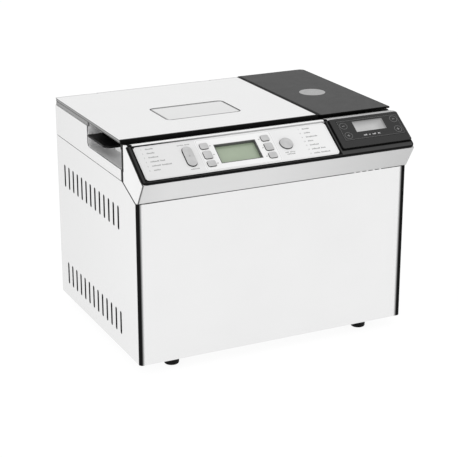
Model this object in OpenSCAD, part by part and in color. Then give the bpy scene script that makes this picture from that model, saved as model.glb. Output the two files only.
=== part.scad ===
// Bread machine with a built-in kitchen scale, millimetres.
// +X is to the right, +Y to the back and +Z up.
// The origin is on the floor, at the centre of the whole footprint.

/* [Casing] */
// Width of the casing, left to right
body_w = 400; // [398:1:410]
// Depth of the casing, from the front sheet to the back edge
body_d = 300; // [298:1:310]
// Height of the casing and the lid above the feet
body_h = 295; // [292:1:300]
// Height of the feet
foot_h = 15; // [10:1:18]
// Thickness of the casing sheet
sheet = 0.8; // [0.6:0.1:1.2]
// Radius of the two front corners of the casing
corner_r = 5; // [3:1:6]
// Vent slots in each row
vent_count = 13; // [9:1:13]
// Distance between vent slots
vent_pitch = 17; // [14:0.5:17]
// Width of a vent slot
vent_w = 5.6; // [3:0.2:6]

/* [Front fascia] */
// How far the nose stands out in front of the casing
nose_reach = 20; // [18:0.5:22]
// Slope of the control face, degrees from level
slope_deg = 34.3; // [33.5:0.1:35]
// Wall of the fascia moulding
fascia_wall = 2.5; // [2:0.1:3]

/* [Lid] */
// Width of the lid, measured from the left side of the casing
lid_w = 289; // [286:1:291]
// Thickness of the lid's edge
lid_t = 5; // [5:0.5:6]
// Width of the lid window
window_w = 112; // [90:1:120]
// Depth of the lid window
window_d = 68; // [50:1:76]
// Corner radius of the lid window
window_r = 8; // [5:1:12]

/* [Scale] */
// Thickness of the scale platform
platform_t = 2.5; // [2:0.1:2.6]
// Radius of the disc let into the platform
disc_r = 19; // [12:1:22]

/* [Bread pan] */
// Width of the bread pan, outside
pan_w = 184; // [176:1:186]
// Depth of the bread pan, outside
pan_d = 134; // [126:1:136]
// Height of the pan's rim above the floor
pan_rim_z = 212; // [205:1:212]

/* [Drive] */
// Teeth on the large pulley
big_teeth = 66; // [60:1:68]
// Teeth on the motor pulley
small_teeth = 12; // [11:1:14]
// Pitch of the belt's teeth
tooth_pitch = 4.7; // [4.6:0.05:4.8]

/* [Hidden] */
$fn = 48;
over = 1;
fit_gap = 0.3;

// Overall planes
left_x = -body_w / 2;
right_x = body_w / 2;
nose_y = -(body_d + nose_reach) / 2;
front_y = nose_y + nose_reach;
back_y = -nose_y;
top_z = foot_h + body_h;
seam_z = foot_h + 240;
front_top_z = foot_h + 222.5;
nose_z = foot_h + 255.5;
seam_gap = 0.8;
seam_start_y = front_y + 7;
fascia_back_y = front_y + 49;
frame_front_y = fascia_back_y + 1;

// Upper frame and lid levels: wall is the frame's own sheet, rail the lining's
wall = 1.2;
rim_z = top_z - 7;
side_rim_z = top_z - 11;
rail_top_z = top_z - 5.8;
rail_t = 1.5;
rail_end = 8;
deck_z = top_z - 20;
deck_t = 1.5;
lid_under_z = top_z - lid_t;
split_x = left_x + lid_w;
hinge_y = back_y - 3;
hinge_z = top_z - 3;
hinge_pin_r = 1.5;
hinge_barrel_r = 2.9;
running_gap = 0.05;
hinge_xs = [left_x + 55, split_x - 55];
hinge_ear_w = 14;
window_x = left_x + 148.75;
window_y = front_y + 147;
glass_margin = 1.4;
shaft_w = window_w - 10;
shaft_d = window_d - 10;

// Side vents
vent_y = front_y + 65.5;
vent_len = 33;
vent_low_z = foot_h + 21;
vent_high_z = foot_h + 170;

// Base, back and cord gland
base_t = 1;
base_lip = 12;
base_vent_x = 95;
base_vent_y = [-35, 75];
base_vent_count = 8;
base_vent_pitch = 11;
grille_w = 5;
back_y0 = back_y - 9;
back_vent_count = 12;
back_vent_pitch = 15;
back_vent_len = 28;
back_vent_rows = [foot_h + 150, foot_h + 195];
back_vent_x = -137;
back_screw_in = 15;
back_screw_r = 1.8;
gland_x = 150;
gland_z = 62;
gland_r = 8;
gland_bore_r = 3.6;
gland_flange_r = gland_r + 3;

// Finger recess in the left side of the upper frame
recess_back_y = front_y + 173;
recess_z = foot_h + 255.5;
recess_depth = 28.3;
recess_r = 7;
tab_front_y = front_y + 105;
tab_back_y = front_y + 171;
tab_z = recess_z + 13.5;
tab_t = 3.5;
tab_reach = 28;

// Baking chamber
oven_x = -55;
oven_y = 20;
oven_w = 214;
oven_d = 184;
oven_floor_z = 60;
oven_wall = 0.8;
oven_r = 14;
oven_flange = 8;
element_half_w = 98;
element_half_d = 79;
element_half_gap = 12;
element_r = 3.5;
element_bend = 18;
element_z = 88;
sensor_z = 130;

// Scale
platform_x = split_x + 0.8;
platform_y = front_y + 48;
platform_corner_r = 8;
tray_top_z = top_z - 4.7;
tray_t = 2;
disc_x = right_x - 57;
disc_y = front_y + 166;
disc_t = 0.8;
cell_side = 12.7;
cell_len = 80;
cell_z = tray_top_z - 18.5;
well_half_w = 24;
well_half_d = 50;

// Control face, in its own axes: u along X, v up the slope, w out of the face
bezel_v = 62.7;
bezel_t = 3;
strip_v = 65.3;
opening_u = [-166, 66];
opening_v = [8, 58.5];
panel_u = [-192, 86];
panel_v = [5.5, 61];
panel_face = -0.6;
window_u = -54;
window_v = 32.2;
display_w = 60;
display_d = 31.6;
lens_top = -5;
lens_t = 1.2;
left_keys_u = -97.7;
right_keys_u = -9.6;
key_rows = [[47.3, 9.5], [32.5, 12.3], [18, 9.3]];
key_w = 11.5;
key_r = 2.5;
key_top = 1.4;
key_gap = 0.5;
key_lip = 1;
rocker_u = -122.8;
rocker_v = 34.2;
rocker_w = 13;
rocker_len = 32;
rocker_gap = 0.7;
rocker_pivot_w = -5;
rocker_pin_r = 1.2;
rocker_throw = 11;
stem_r = 1.7;
key_skirt_w = -5;
start_u = 16.8;
start_v = 34;
start_r = 9;
zone_u = [-108, 2];
board_w = -12;
board_t = 1.6;
switch_top = -6.7;
board_posts = [[-150, 14], [-150, 53], [50, 14], [50, 53]];
head_u = [92.5, 199.5];
head_v = [10.6, 62];
head_top = 2.5;
head_body_u = [98, 194];
head_body_v = [14, 58];
glass_u = [101, 196];
glass_v = [22.5, 57.5];
glass_t = 0.8;
readout_u = [123.5, 172];
readout_v = [34.5, 54];

// Drive line under the chamber
drive_x = oven_x;
drive_y = oven_y;
motor_x = 140;
motor_y = 20;
pulley_z = 23;
pulley_h = 13;
big_pulley_r = big_teeth * tooth_pitch / (2 * PI);
small_pulley_r = small_teeth * tooth_pitch / (2 * PI);
belt_t = 1.6;
belt_w = 9;
belt_gap = 0.4;
shaft_r = 4;
bearing_r = 11;
chassis_z = 58;
chassis_t = 2;
bridge_half_w = 84;
bridge_half_d = 70;
table_half_w = 52;
table_half_d = 50;
motor_hole_r = 12;
belt_slot_half_d = 58;
coupling_z = 64.5;
pan_floor_z = 84;
pan_wall = 1.5;
pan_r = 16;
bail_z = pan_rim_z + 4;
bail_arm = 71;
bail_wire_r = 2.5;
bail_x = pan_w / 2 + 4.5;
wing_z = 70;
motor_z = 62;
motor_r = 42;
motor_h = 62;

// Feet
foot_x = 145;
foot_in_y = 24;
foot_ys = [front_y + foot_in_y, back_y - foot_in_y];
foot_r = 10.5;
foot_flange_r = foot_r + 1.5;
foot_bore_r = 4.6;
foot_seat_z = foot_h - 6;
foot_screw_r = 2;

// ---- Shared helpers ----

module round_rect(w, d, r) {
    square([w - 2 * r, d], center = true);
    square([w, d - 2 * r], center = true);
    for (x = [-1, 1], y = [-1, 1])
        translate([x * (w / 2 - r), y * (d / 2 - r)])
            circle(r);
}

// A block from one corner to the opposite one
module block(low, high) {
    translate(low)
        cube(high - low);
}

// A (Y, Z) outline drawn out along X, centred on X = 0
module across(w) {
    rotate([90, 0, 90])
        linear_extrude(height = w, center = true)
            children();
}

// The axes of the sloping control face
module on_slope() {
    translate([0, nose_y, nose_z])
        rotate([slope_deg, 0, 0])
            children();
}

// A (Y, Z) point from a height v up the control face and a distance w out of it
function face_point(v, w) = [nose_y + v * cos(slope_deg) - w * sin(slope_deg),
                             nose_z + v * sin(slope_deg) + w * cos(slope_deg)];

// A plate on the control face, given by its u, v and w ranges
module face_block(u, v, w) {
    block([u[0], v[0], w[0]], [u[1], v[1], w[1]]);
}

module rod(p, r, h, axis = "z") {
    translate(p)
        rotate(axis == "x" ? [0, 90, 0] : axis == "y" ? [-90, 0, 0] : [0, 0, 0])
            cylinder(r = r, h = h);
}

// ---- Casing ----

module casing_plan(inset) {
    r = corner_r - inset;
    w = body_w - 2 * inset;
    translate([-w / 2, front_y + corner_r])
        square([w, body_d - corner_r + (inset > 0 ? over : 0)]);
    translate([-w / 2 + r, front_y + inset])
        square([w - 2 * r, corner_r]);
    for (side = [-1, 1])
        translate([side * (body_w / 2 - corner_r), front_y + corner_r])
            circle(r);
}

module vent_row(low_z) {
    for (i = [0 : vent_count - 1])
        translate([vent_y + i * vent_pitch, low_z + vent_w / 2]) {
            translate([-vent_w / 2, 0])
                square([vent_w, vent_len - vent_w]);
            for (z = [0, vent_len - vent_w])
                translate([0, z])
                    circle(vent_w / 2);
        }
}

module casing_wrap() color("gainsboro") {
    difference() {
        translate([0, 0, foot_h])
            linear_extrude(height = seam_z - foot_h)
                difference() {
                    casing_plan(0);
                    casing_plan(sheet);
                }
        across(body_w + 2 * over)
            polygon([[front_y - over, front_top_z], [seam_start_y, front_top_z], [fascia_back_y, seam_z],
                     [fascia_back_y, seam_z + over], [front_y - over, seam_z + over]]);
        across(body_w + 2 * over) {
            vent_row(vent_high_z);
            vent_row(vent_low_z);
        }
    }
}

module back_panel() color("lightgray") {
    in_x = body_w / 2 - sheet - 0.1;
    low_z = foot_h + sheet + 0.4;
    high_z = seam_z - 0.2;
    difference() {
        block([-in_x, back_y0, low_z], [in_x, back_y - 0.5, high_z]);
        block([-in_x + sheet, back_y0 + sheet, low_z + sheet], [in_x - sheet, back_y, high_z - sheet]);
        rod([gland_x, back_y0 - over, gland_z], gland_r + 0.1, 3 * over, "y");
        for (z = back_vent_rows, i = [0 : back_vent_count - 1])
            translate([back_vent_x + i * back_vent_pitch, back_y0 - over, z])
                cube([grille_w, 3 * over, back_vent_len]);
        for (x = [-1, 1], z = [low_z + back_screw_in, high_z - back_screw_in])
            rod([x * (in_x - back_screw_in), back_y0 - over, z], back_screw_r, 3 * over, "y");
    }
}

// The base plate's outline: inside the casing, rounded like it at the front and square at the back
module base_plan(inset) {
    intersection() {
        casing_plan(sheet + fit_gap + inset);
        translate([-body_w / 2, front_y])
            square([body_w, back_y0 - fit_gap - inset - front_y]);
    }
}

module base_plate() color("silver") {
    difference() {
        translate([0, 0, foot_h])
            linear_extrude(height = base_lip)
                base_plan(0);
        translate([0, 0, foot_h + base_t])
            linear_extrude(height = base_lip)
                base_plan(sheet);
        for (x = [-foot_x, foot_x], y = foot_ys)
            rod([x, y, foot_h - over], foot_screw_r + 0.2, 4 * over);
        for (i = [0 : base_vent_count - 1])
            translate([base_vent_x + i * base_vent_pitch, base_vent_y[0], foot_h - over])
                cube([grille_w, base_vent_y[1] - base_vent_y[0], base_t + 2 * over]);
    }
}

module foot(x, y) color("black") {
    translate([x, y, 0])
        difference() {
            rotate_extrude()
                polygon([[0, 0], [foot_r - 1.5, 0], [foot_r - 0.5, 1], [foot_r, foot_h - 3],
                         [foot_flange_r, foot_h - 2.5], [foot_flange_r, foot_h], [0, foot_h]]);
            rod([0, 0, -over], foot_bore_r, foot_seat_z + over);
            rod([0, 0, -over], foot_screw_r + 0.2, foot_h + 2 * over);
        }
}

// Each foot's screw: its socketed head in the bore, its shank, and its nut on the base plate
module foot_screws() color("silver") {
    head_r = 4;
    head_h = 2.5;
    nut_h = 3;
    head_z = foot_seat_z - head_h;
    for (x = [-foot_x, foot_x], y = foot_ys)
        translate([x, y, head_z]) {
            difference() {
                cylinder(r = head_r, h = head_h);
                rod([0, 0, -over], 1.2, 1.5 + over);
            }
            cylinder(r = foot_screw_r, h = 14);
            translate([0, 0, foot_h + base_t + 0.2 - head_z])
                cylinder(r = head_r, h = nut_h, $fn = 6);
        }
}

module cord_gland() color("dimgray") {
    difference() {
        union() {
            rod([gland_x, back_y0 - 8, gland_z], gland_r, 12, "y");
            rod([gland_x, back_y0 - 5, gland_z], gland_flange_r, 5, "y");
            rod([gland_x, back_y0 + sheet, gland_z], gland_flange_r, 3, "y");
            rod([gland_x, back_y0, gland_z], gland_r - 2, back_y - 0.5 - back_y0, "y");
        }
        rod([gland_x, back_y0 - 9, gland_z], gland_bore_r, 20, "y");
    }
}

// ---- Upper frame with its finger recess ----

module recess_side() {
    translate([frame_front_y - over, recess_z + recess_r])
        square([recess_back_y - frame_front_y + over, top_z]);
    translate([frame_front_y - over, recess_z])
        square([recess_back_y - recess_r - frame_front_y + over, recess_r + over]);
    translate([recess_back_y - recess_r, recess_z + recess_r])
        circle(recess_r);
}

module top_frame() color("gainsboro") {
    difference() {
        block([left_x, frame_front_y, seam_z + seam_gap], [right_x, back_y, rim_z]);
        block([left_x + wall, frame_front_y - over, deck_z], [split_x - 0.4, back_y - wall, rim_z + over]);
        block([split_x + 1.3, frame_front_y - over, deck_z], [right_x - wall, back_y - wall, rim_z + over]);
        block([left_x + wall, frame_front_y - over, seam_z - over],
              [right_x - wall, back_y - wall, deck_z - deck_t]);
        translate([oven_x, oven_y, deck_z - 2 * deck_t])
            linear_extrude(height = 3 * deck_t)
                round_rect(oven_w + 1, oven_d + 1, oven_r + 0.5);
        block([left_x + wall - over, frame_front_y - over, recess_z],
              [left_x + recess_depth + rail_t + fit_gap, recess_back_y + rail_t + fit_gap, deck_z + over]);
        block([left_x - over, frame_front_y - over, side_rim_z], [left_x + wall, back_y + over, top_z]);
        translate([left_x, 0, 0])
            rotate([90, 0, 90])
                linear_extrude(height = 2 * (wall + over), center = true)
                    recess_side();
        block([disc_x - well_half_w - 1, disc_y - well_half_d - 1, deck_z - 2 * deck_t],
              [disc_x + well_half_w + 1, disc_y + well_half_d + 1, deck_z + over]);
        for (x = hinge_xs)
            block([x - hinge_ear_w / 2 - 0.2, back_y - wall - over, deck_z - over],
                  [x + hinge_ear_w / 2 + 0.2, back_y + over, rim_z + over]);
    }
}

// The grey lining of the recess, which stands up to the lid and runs on behind the frame's low left wall
module recess_liner() color("darkgray") {
    in_x = left_x + recess_depth;
    lid_lip_y = frame_front_y + 4.4;
    difference() {
        block([left_x + wall, frame_front_y, recess_z - rail_t],
              [in_x + rail_t, recess_back_y + rail_t, rail_top_z]);
        translate([left_x + recess_depth / 2, 0, 0])
            rotate([90, 0, 90])
                linear_extrude(height = recess_depth, center = true)
                    intersection() {
                        recess_side();
                        translate([frame_front_y + rail_t, recess_z - over])
                            square([body_d, body_h]);
                    }
        block([left_x, frame_front_y - over, lid_under_z - 8.5], [in_x + 2 * rail_t, lid_lip_y, top_z]);
    }
    block([left_x + wall, recess_back_y + rail_t / 2, deck_z],
          [left_x + wall + rail_t, back_y - rail_end, rail_top_z]);
    block([left_x + wall, back_y - rail_end - over, deck_z],
          [left_x + wall + rail_t, back_y - wall - fit_gap, hinge_z - hinge_barrel_r - 0.6]);
}

module hinge_brackets() color("silver") {
    for (x = hinge_xs)
        difference() {
            union() {
                block([x - hinge_ear_w / 2, back_y - 5.5, deck_z],
                      [x + hinge_ear_w / 2, back_y - 0.2, hinge_z]);
                rod([x - hinge_ear_w / 2, hinge_y, hinge_z], hinge_barrel_r - 0.1, hinge_ear_w, "x");
            }
            rod([x - hinge_ear_w, hinge_y, hinge_z], hinge_pin_r, 2 * hinge_ear_w, "x");
            block([x - hinge_ear_w, back_y - 6, deck_z - over], [x + hinge_ear_w, back_y - 3.6, hinge_z - 8]);
        }
}

module hinge_pin() color("silver") {
    rod([left_x + 6, hinge_y, hinge_z], hinge_pin_r, lid_w - 12, "x");
}

// ---- Front fascia and controls ----

module fascia_body() color("silver") {
    low_z = front_top_z + seam_gap;
    shelf_z = top_z - 5.5;
    inner_front_y = front_y + 3.7;
    difference() {
        across(body_w)
            polygon([[front_y, low_z], face_point(0, -bezel_t), face_point(bezel_v + 0.5, -bezel_t),
                     face_point(bezel_v + 0.5, 0), face_point(strip_v, 0), [fascia_back_y, shelf_z],
                     [fascia_back_y, seam_z + seam_gap], [seam_start_y, low_z]]);
        across(body_w - 2 * fascia_wall)
            polygon([[inner_front_y, low_z - over], face_point(3.2, -bezel_t - fascia_wall),
                     face_point(bezel_v - 0.5, -bezel_t - fascia_wall),
                     [fascia_back_y + over, shelf_z - fascia_wall], [fascia_back_y + over, low_z - over]]);
        on_slope()
            face_block(opening_u, opening_v, [-bezel_t - fascia_wall - over, over]);
        on_slope()
            face_block(head_body_u + [-0.5, 0.5], head_body_v + [-0.5, 0.5],
                       [-bezel_t - fascia_wall - over, over]);
    }
}

module bezel() color("dimgray") {
    left_r = 8;
    right_r = 7;
    on_slope()
        difference() {
            union() {
                face_block([left_x, right_x], [left_r, bezel_v], [-bezel_t, 0]);
                face_block([left_x + left_r, right_x - right_r], [0, left_r + over], [-bezel_t, 0]);
                rod([left_x + left_r, left_r, -bezel_t], left_r, bezel_t);
                rod([right_x - right_r, right_r, -bezel_t], right_r, bezel_t);
                face_block([right_x - right_r - over, right_x], [right_r, left_r + over], [-bezel_t, 0]);
            }
            face_block(panel_u + [-fit_gap, fit_gap], panel_v + [-fit_gap, fit_gap], [-bezel_t - over, over]);
            face_block(head_body_u + [-0.5, 0.5], head_body_v + [-0.5, 0.5], [-bezel_t - over, over]);
        }
}

// The plan of one rectangular key, grown by a margin
module key_plan(d, margin) {
    round_rect(key_w + 2 * margin, d + 2 * margin, key_r + margin);
}

module rocker_plan(margin) {
    r = rocker_w / 2 + margin;
    square([2 * r, rocker_len - rocker_w], center = true);
    for (side = [-1, 1])
        translate([0, side * (rocker_len - rocker_w) / 2])
            circle(r);
}

module control_panel() color("whitesmoke") {
    corner = 5;
    zone_rise = 0.5;
    mid_u = (panel_u[0] + panel_u[1]) / 2;
    mid_v = (panel_v[0] + panel_v[1]) / 2;
    on_slope()
        difference() {
            union() {
                translate([mid_u, mid_v, -bezel_t])
                    linear_extrude(height = bezel_t + panel_face)
                        round_rect(panel_u[1] - panel_u[0], panel_v[1] - panel_v[0], corner);
                translate([(zone_u[0] + zone_u[1]) / 2, mid_v, panel_face - over])
                    linear_extrude(height = over + zone_rise)
                        round_rect(zone_u[1] - zone_u[0], panel_v[1] - panel_v[0] - 3, 4);
                for (p = board_posts)
                    rod([p[0], p[1], board_w + board_t], 3, -bezel_t - board_w - board_t + 0.5);
                for (side = [-1, 1])
                    translate([rocker_u + side * 9.5, rocker_v, (rocker_pivot_w - 3 - bezel_t + 0.5) / 2])
                        cube([2, 6, -(rocker_pivot_w - 3) - bezel_t + 0.5], center = true);
            }
            translate([window_u, window_v, -bezel_t - over])
                linear_extrude(height = 3 * bezel_t)
                    square([display_w + 0.2, display_d + 0.2], center = true);
            for (u = [left_keys_u, right_keys_u], row = key_rows)
                translate([u, row[0], -bezel_t - over])
                    linear_extrude(height = 3 * bezel_t)
                        key_plan(row[1], key_gap);
            translate([rocker_u, rocker_v, -bezel_t - over])
                linear_extrude(height = 3 * bezel_t)
                    rocker_plan(rocker_gap);
            rod([start_u, start_v, -bezel_t - over], start_r + key_gap, 3 * bezel_t);
            rod([rocker_u - 15, rocker_v, rocker_pivot_w], rocker_pin_r + running_gap, 30, "x");
        }
}

module display_surround() color("dimgray") {
    on_slope()
        translate([window_u, window_v, lens_top + 0.1])
            linear_extrude(height = panel_face + 0.4 - lens_top)
                difference() {
                    square([display_w, display_d], center = true);
                    square([display_w - 2, display_d - 2], center = true);
                }
}

module display_lens() color([0.6, 0.68, 0.6, 0.5]) {
    on_slope()
        translate([window_u, window_v, lens_top - lens_t])
            linear_extrude(height = lens_t)
                round_rect(display_w + 4, display_d + 4, 1);
}

module display_module() color("darkseagreen") {
    on_slope()
        translate([window_u, window_v, board_w + board_t])
            linear_extrude(height = lens_top - lens_t - board_w - board_t)
                round_rect(display_w + 8, display_d + 8, 1);
}

module key_switch(u, v) {
    translate([u, v, board_w + board_t - 0.01])
        linear_extrude(height = switch_top - 1 - board_w - board_t)
            square(6, center = true);
    rod([u, v, board_w + board_t], stem_r, switch_top - board_w - board_t);
}

module control_board() color("darkgreen") {
    on_slope() {
        face_block([-158, 58], [8.5, 58], [board_w, board_w + board_t]);
        for (u = [left_keys_u, right_keys_u], row = key_rows)
            key_switch(u, row[0]);
        for (side = [-1, 1])
            key_switch(rocker_u, rocker_v + side * rocker_throw);
        key_switch(start_u, start_v);
        face_block([20, 48], [40, 46], [board_w - 8, board_w + over / 2]);
    }
}

module key_stem() {
    rod([0, 0, switch_top + 1.2], stem_r, 2);
}

module key_cap(u, row) color("silver") {
    on_slope()
        translate([u, row[0], 0]) {
            translate([0, 0, key_skirt_w])
                linear_extrude(height = key_top - key_skirt_w)
                    key_plan(row[1], 0);
            translate([0, 0, key_skirt_w])
                linear_extrude(height = 1)
                    key_plan(row[1], key_lip);
            key_stem();
        }
}

module start_key() color("silver") {
    on_slope()
        translate([start_u, start_v, 0]) {
            rod([0, 0, key_skirt_w], start_r, key_top - key_skirt_w);
            rod([0, 0, key_skirt_w], start_r + key_lip, 1);
            key_stem();
        }
}

module menu_rocker() color("silver") {
    on_slope()
        translate([rocker_u, rocker_v, 0]) {
            translate([0, 0, -5.8])
                linear_extrude(height = key_top + 5.8)
                    rocker_plan(0);
            rod([-11, 0, rocker_pivot_w], rocker_pin_r, 22, "x");
            for (side = [-1, 1])
                rod([0, side * rocker_throw, -5.9], stem_r, 1);
        }
}

// ---- Scale ----

module scale_head() color([0.12, 0.12, 0.13]) {
    depth = 14;
    shell = 2;
    on_slope()
        difference() {
            union() {
                translate([(head_u[0] + head_u[1]) / 2, (head_v[0] + head_v[1]) / 2, 0])
                    linear_extrude(height = head_top)
                        round_rect(head_u[1] - head_u[0], head_v[1] - head_v[0], 2.5);
                face_block(head_body_u, head_body_v, [-depth, over]);
            }
            face_block(head_body_u + [shell, -shell], head_body_v + [shell, -shell], [-depth - over, 0.1]);
            face_block(glass_u, glass_v, [head_top - glass_t, head_top + over]);
            face_block(readout_u + [-0.5, 0.5], readout_v + [-0.5, 0.5], [-over, head_top]);
        }
}

module scale_glass() color([0.1, 0.1, 0.12, 0.6]) {
    on_slope()
        face_block(glass_u + [0.1, -0.1], glass_v + [0.1, -0.1], [head_top - glass_t, head_top]);
}

module scale_display() color("darkgray") {
    on_slope() {
        face_block(readout_u, readout_v, [-1.5, head_top - glass_t]);
        face_block([120, 176], [31, 55.5], [-3, -0.2]);
    }
}

module scale_board() color("darkgreen") {
    on_slope() {
        face_block([101, 191], [17, 55], [-4.6, -3]);
        face_block([105, 118], [20, 26], [-9, -4.5]);
    }
}

module platform_plan(inset) {
    w = right_x - platform_x - 2 * inset;
    d = back_y - platform_y - 2 * inset;
    r = platform_corner_r - inset;
    translate([platform_x + inset, platform_y + inset]) {
        square([w, d - r]);
        square([w - r, d]);
        translate([w - r, d - r])
            circle(r);
    }
}

module scale_platform() color("dimgray") {
    difference() {
        translate([0, 0, top_z - platform_t])
            linear_extrude(height = platform_t)
                platform_plan(0);
        rod([disc_x, disc_y, top_z - disc_t], disc_r, disc_t + over);
    }
}

module platform_disc() color("silver") {
    rod([disc_x, disc_y, top_z - disc_t], disc_r - 0.1, disc_t);
}

module platform_post() color("silver") {
    low_z = cell_z + cell_side + 1.1;
    y = disc_y - cell_len / 2 + 12;
    rod([disc_x, y, low_z], 5, top_z - platform_t - low_z);
    rod([disc_x, y, top_z - platform_t - 1], 16, 1);
}

module load_cell() color("silver") {
    difference() {
        block([disc_x - cell_side / 2, disc_y - cell_len / 2, cell_z],
              [disc_x + cell_side / 2, disc_y + cell_len / 2, cell_z + cell_side]);
        for (y = [-6, 6])
            rod([disc_x - cell_side, disc_y + y, cell_z + cell_side / 2], 4.6, 2 * cell_side, "x");
        block([disc_x - cell_side, disc_y - 6, cell_z + cell_side / 2 - 1.5],
              [disc_x + cell_side, disc_y + 6, cell_z + cell_side / 2 + 1.5]);
    }
}

module scale_tray() color([0.1, 0.1, 0.1]) {
    well_z = cell_z - 4;
    difference() {
        union() {
            translate([0, 0, tray_top_z - tray_t])
                linear_extrude(height = tray_t)
                    intersection() {
                        platform_plan(0.2);
                        translate([platform_x + 0.2, frame_front_y])
                            square([body_w, body_d]);
                    }
            block([disc_x - well_half_w, disc_y - well_half_d, well_z],
                  [disc_x + well_half_w, disc_y + well_half_d, tray_top_z]);
        }
        block([disc_x - well_half_w + 2, disc_y - well_half_d + 2, well_z + 2],
              [disc_x + well_half_w - 2, disc_y + well_half_d - 2, tray_top_z + over]);
    }
    block([disc_x - cell_side / 2, disc_y + cell_len / 2 - 24, well_z + 1],
          [disc_x + cell_side / 2, disc_y + cell_len / 2, cell_z]);
}

// ---- Lid ----

module lid_cover() color("gainsboro") {
    skin = 1;
    difference() {
        union() {
            block([left_x, frame_front_y, lid_under_z], [split_x, hinge_y, top_z]);
            rod([left_x + 3, hinge_y, hinge_z], hinge_barrel_r, lid_w - 6, "x");
        }
        block([left_x + skin, frame_front_y - over, lid_under_z - over],
              [split_x - skin, hinge_y - hinge_barrel_r - skin, top_z - skin]);
        rod([left_x - over, hinge_y, hinge_z], hinge_pin_r + running_gap, lid_w + 2 * over, "x");
        for (x = hinge_xs)
            block([x - hinge_ear_w / 2 - 0.5, hinge_y - hinge_barrel_r - 0.8, lid_under_z - over],
                  [x + hinge_ear_w / 2 + 0.5, back_y + over, top_z + over]);
        translate([window_x, window_y, lid_under_z])
            linear_extrude(height = lid_t + over)
                round_rect(window_w, window_d, window_r);
    }
}

module lid_liner() color([0.08, 0.08, 0.08]) {
    box_z = deck_z + 3.3;
    slab_z = lid_under_z - 0.5;
    difference() {
        union() {
            block([left_x + 1.1, frame_front_y, slab_z], [split_x - 1.1, hinge_y - 4.5, top_z - 1.1]);
            block([left_x + 1.1, frame_front_y, slab_z - 7.5],
                  [split_x - 1.1, frame_front_y + 4, slab_z + over]);
            translate([oven_x, oven_y, box_z])
                linear_extrude(height = slab_z - box_z + over)
                    round_rect(oven_w - 8, oven_d - 8, oven_r);
        }
        difference() {
            translate([oven_x, oven_y, box_z - over])
                linear_extrude(height = slab_z - box_z + over)
                    round_rect(oven_w - 14, oven_d - 14, oven_r - 3);
            translate([window_x, window_y, box_z - 2 * over])
                linear_extrude(height = slab_z - box_z + 4 * over)
                    round_rect(shaft_w + 5, shaft_d + 5, 5);
        }
        translate([window_x, window_y, box_z - over])
            linear_extrude(height = 2 * body_h)
                round_rect(shaft_w, shaft_d, 3);
        translate([window_x, window_y, top_z - 3.8])
            linear_extrude(height = 5)
                round_rect(window_w, window_d, window_r);
    }
}

module lid_heat_plate() color("lightgray") {
    translate([oven_x, oven_y, deck_z + 2.5])
        linear_extrude(height = 0.8)
            difference() {
                round_rect(oven_w - 8, oven_d - 8, oven_r);
                translate([window_x - oven_x, window_y - oven_y])
                    round_rect(shaft_w, shaft_d, 3);
            }
}

module lid_window() color([0.85, 0.87, 0.88, 0.5]) {
    translate([window_x, window_y, top_z - 3.3])
        linear_extrude(height = 3.1)
            round_rect(window_w - 2 * glass_margin, window_d - 2 * glass_margin, window_r - glass_margin);
}

module window_gasket() color([0.15, 0.15, 0.15]) {
    translate([window_x, window_y, top_z - 3.8])
        difference() {
            linear_extrude(height = 3.7)
                round_rect(window_w - 0.1, window_d - 0.1, window_r - 0.05);
            translate([0, 0, 0.5])
                linear_extrude(height = 5)
                    round_rect(window_w - 2 * glass_margin, window_d - 2 * glass_margin,
                               window_r - glass_margin);
            translate([0, 0, -over])
                linear_extrude(height = 5)
                    round_rect(window_w - 9, window_d - 9, 3);
        }
}

module handle_tab() color([0.05, 0.05, 0.05]) {
    web_x = left_x + tab_reach - 6;
    chamfer = 7;
    translate([0, 0, tab_z])
        linear_extrude(height = tab_t)
            polygon([[left_x, tab_front_y + chamfer], [left_x + chamfer, tab_front_y],
                     [left_x + tab_reach, tab_front_y], [left_x + tab_reach, tab_back_y],
                     [left_x, tab_back_y]]);
    block([web_x, tab_front_y, tab_z], [left_x + tab_reach, tab_back_y, lid_under_z - 0.5]);
}

// ---- Baking chamber ----

module oven_chamber() color("silver") {
    height = deck_z - oven_floor_z;
    difference() {
        translate([oven_x, oven_y, oven_floor_z]) {
            linear_extrude(height = height)
                round_rect(oven_w, oven_d, oven_r);
            translate([0, 0, height])
                linear_extrude(height = oven_wall)
                    round_rect(oven_w + 2 * oven_flange, oven_d + 2 * oven_flange - 4, oven_r);
        }
        translate([oven_x, oven_y, oven_floor_z + oven_wall])
            linear_extrude(height = height + over)
                round_rect(oven_w - 2 * oven_wall, oven_d - 2 * oven_wall, oven_r - oven_wall);
        rod([oven_x, oven_y, oven_floor_z - over], bearing_r + 0.2, 4 * over);
        for (side = [-1, 1])
            rod([oven_x + oven_w / 2 - 4 * over, oven_y + side * element_half_gap, element_z],
                6, 8 * over, "x");
        rod([oven_x, oven_y - oven_d / 2 - over, sensor_z], 3, 4 * over, "y");
    }
}

module element_quarter(x, y, turn) {
    translate([x, y, element_z])
        rotate([0, 0, turn])
            rotate_extrude(angle = 90)
                translate([element_bend, 0])
                    circle(element_r);
}

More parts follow.
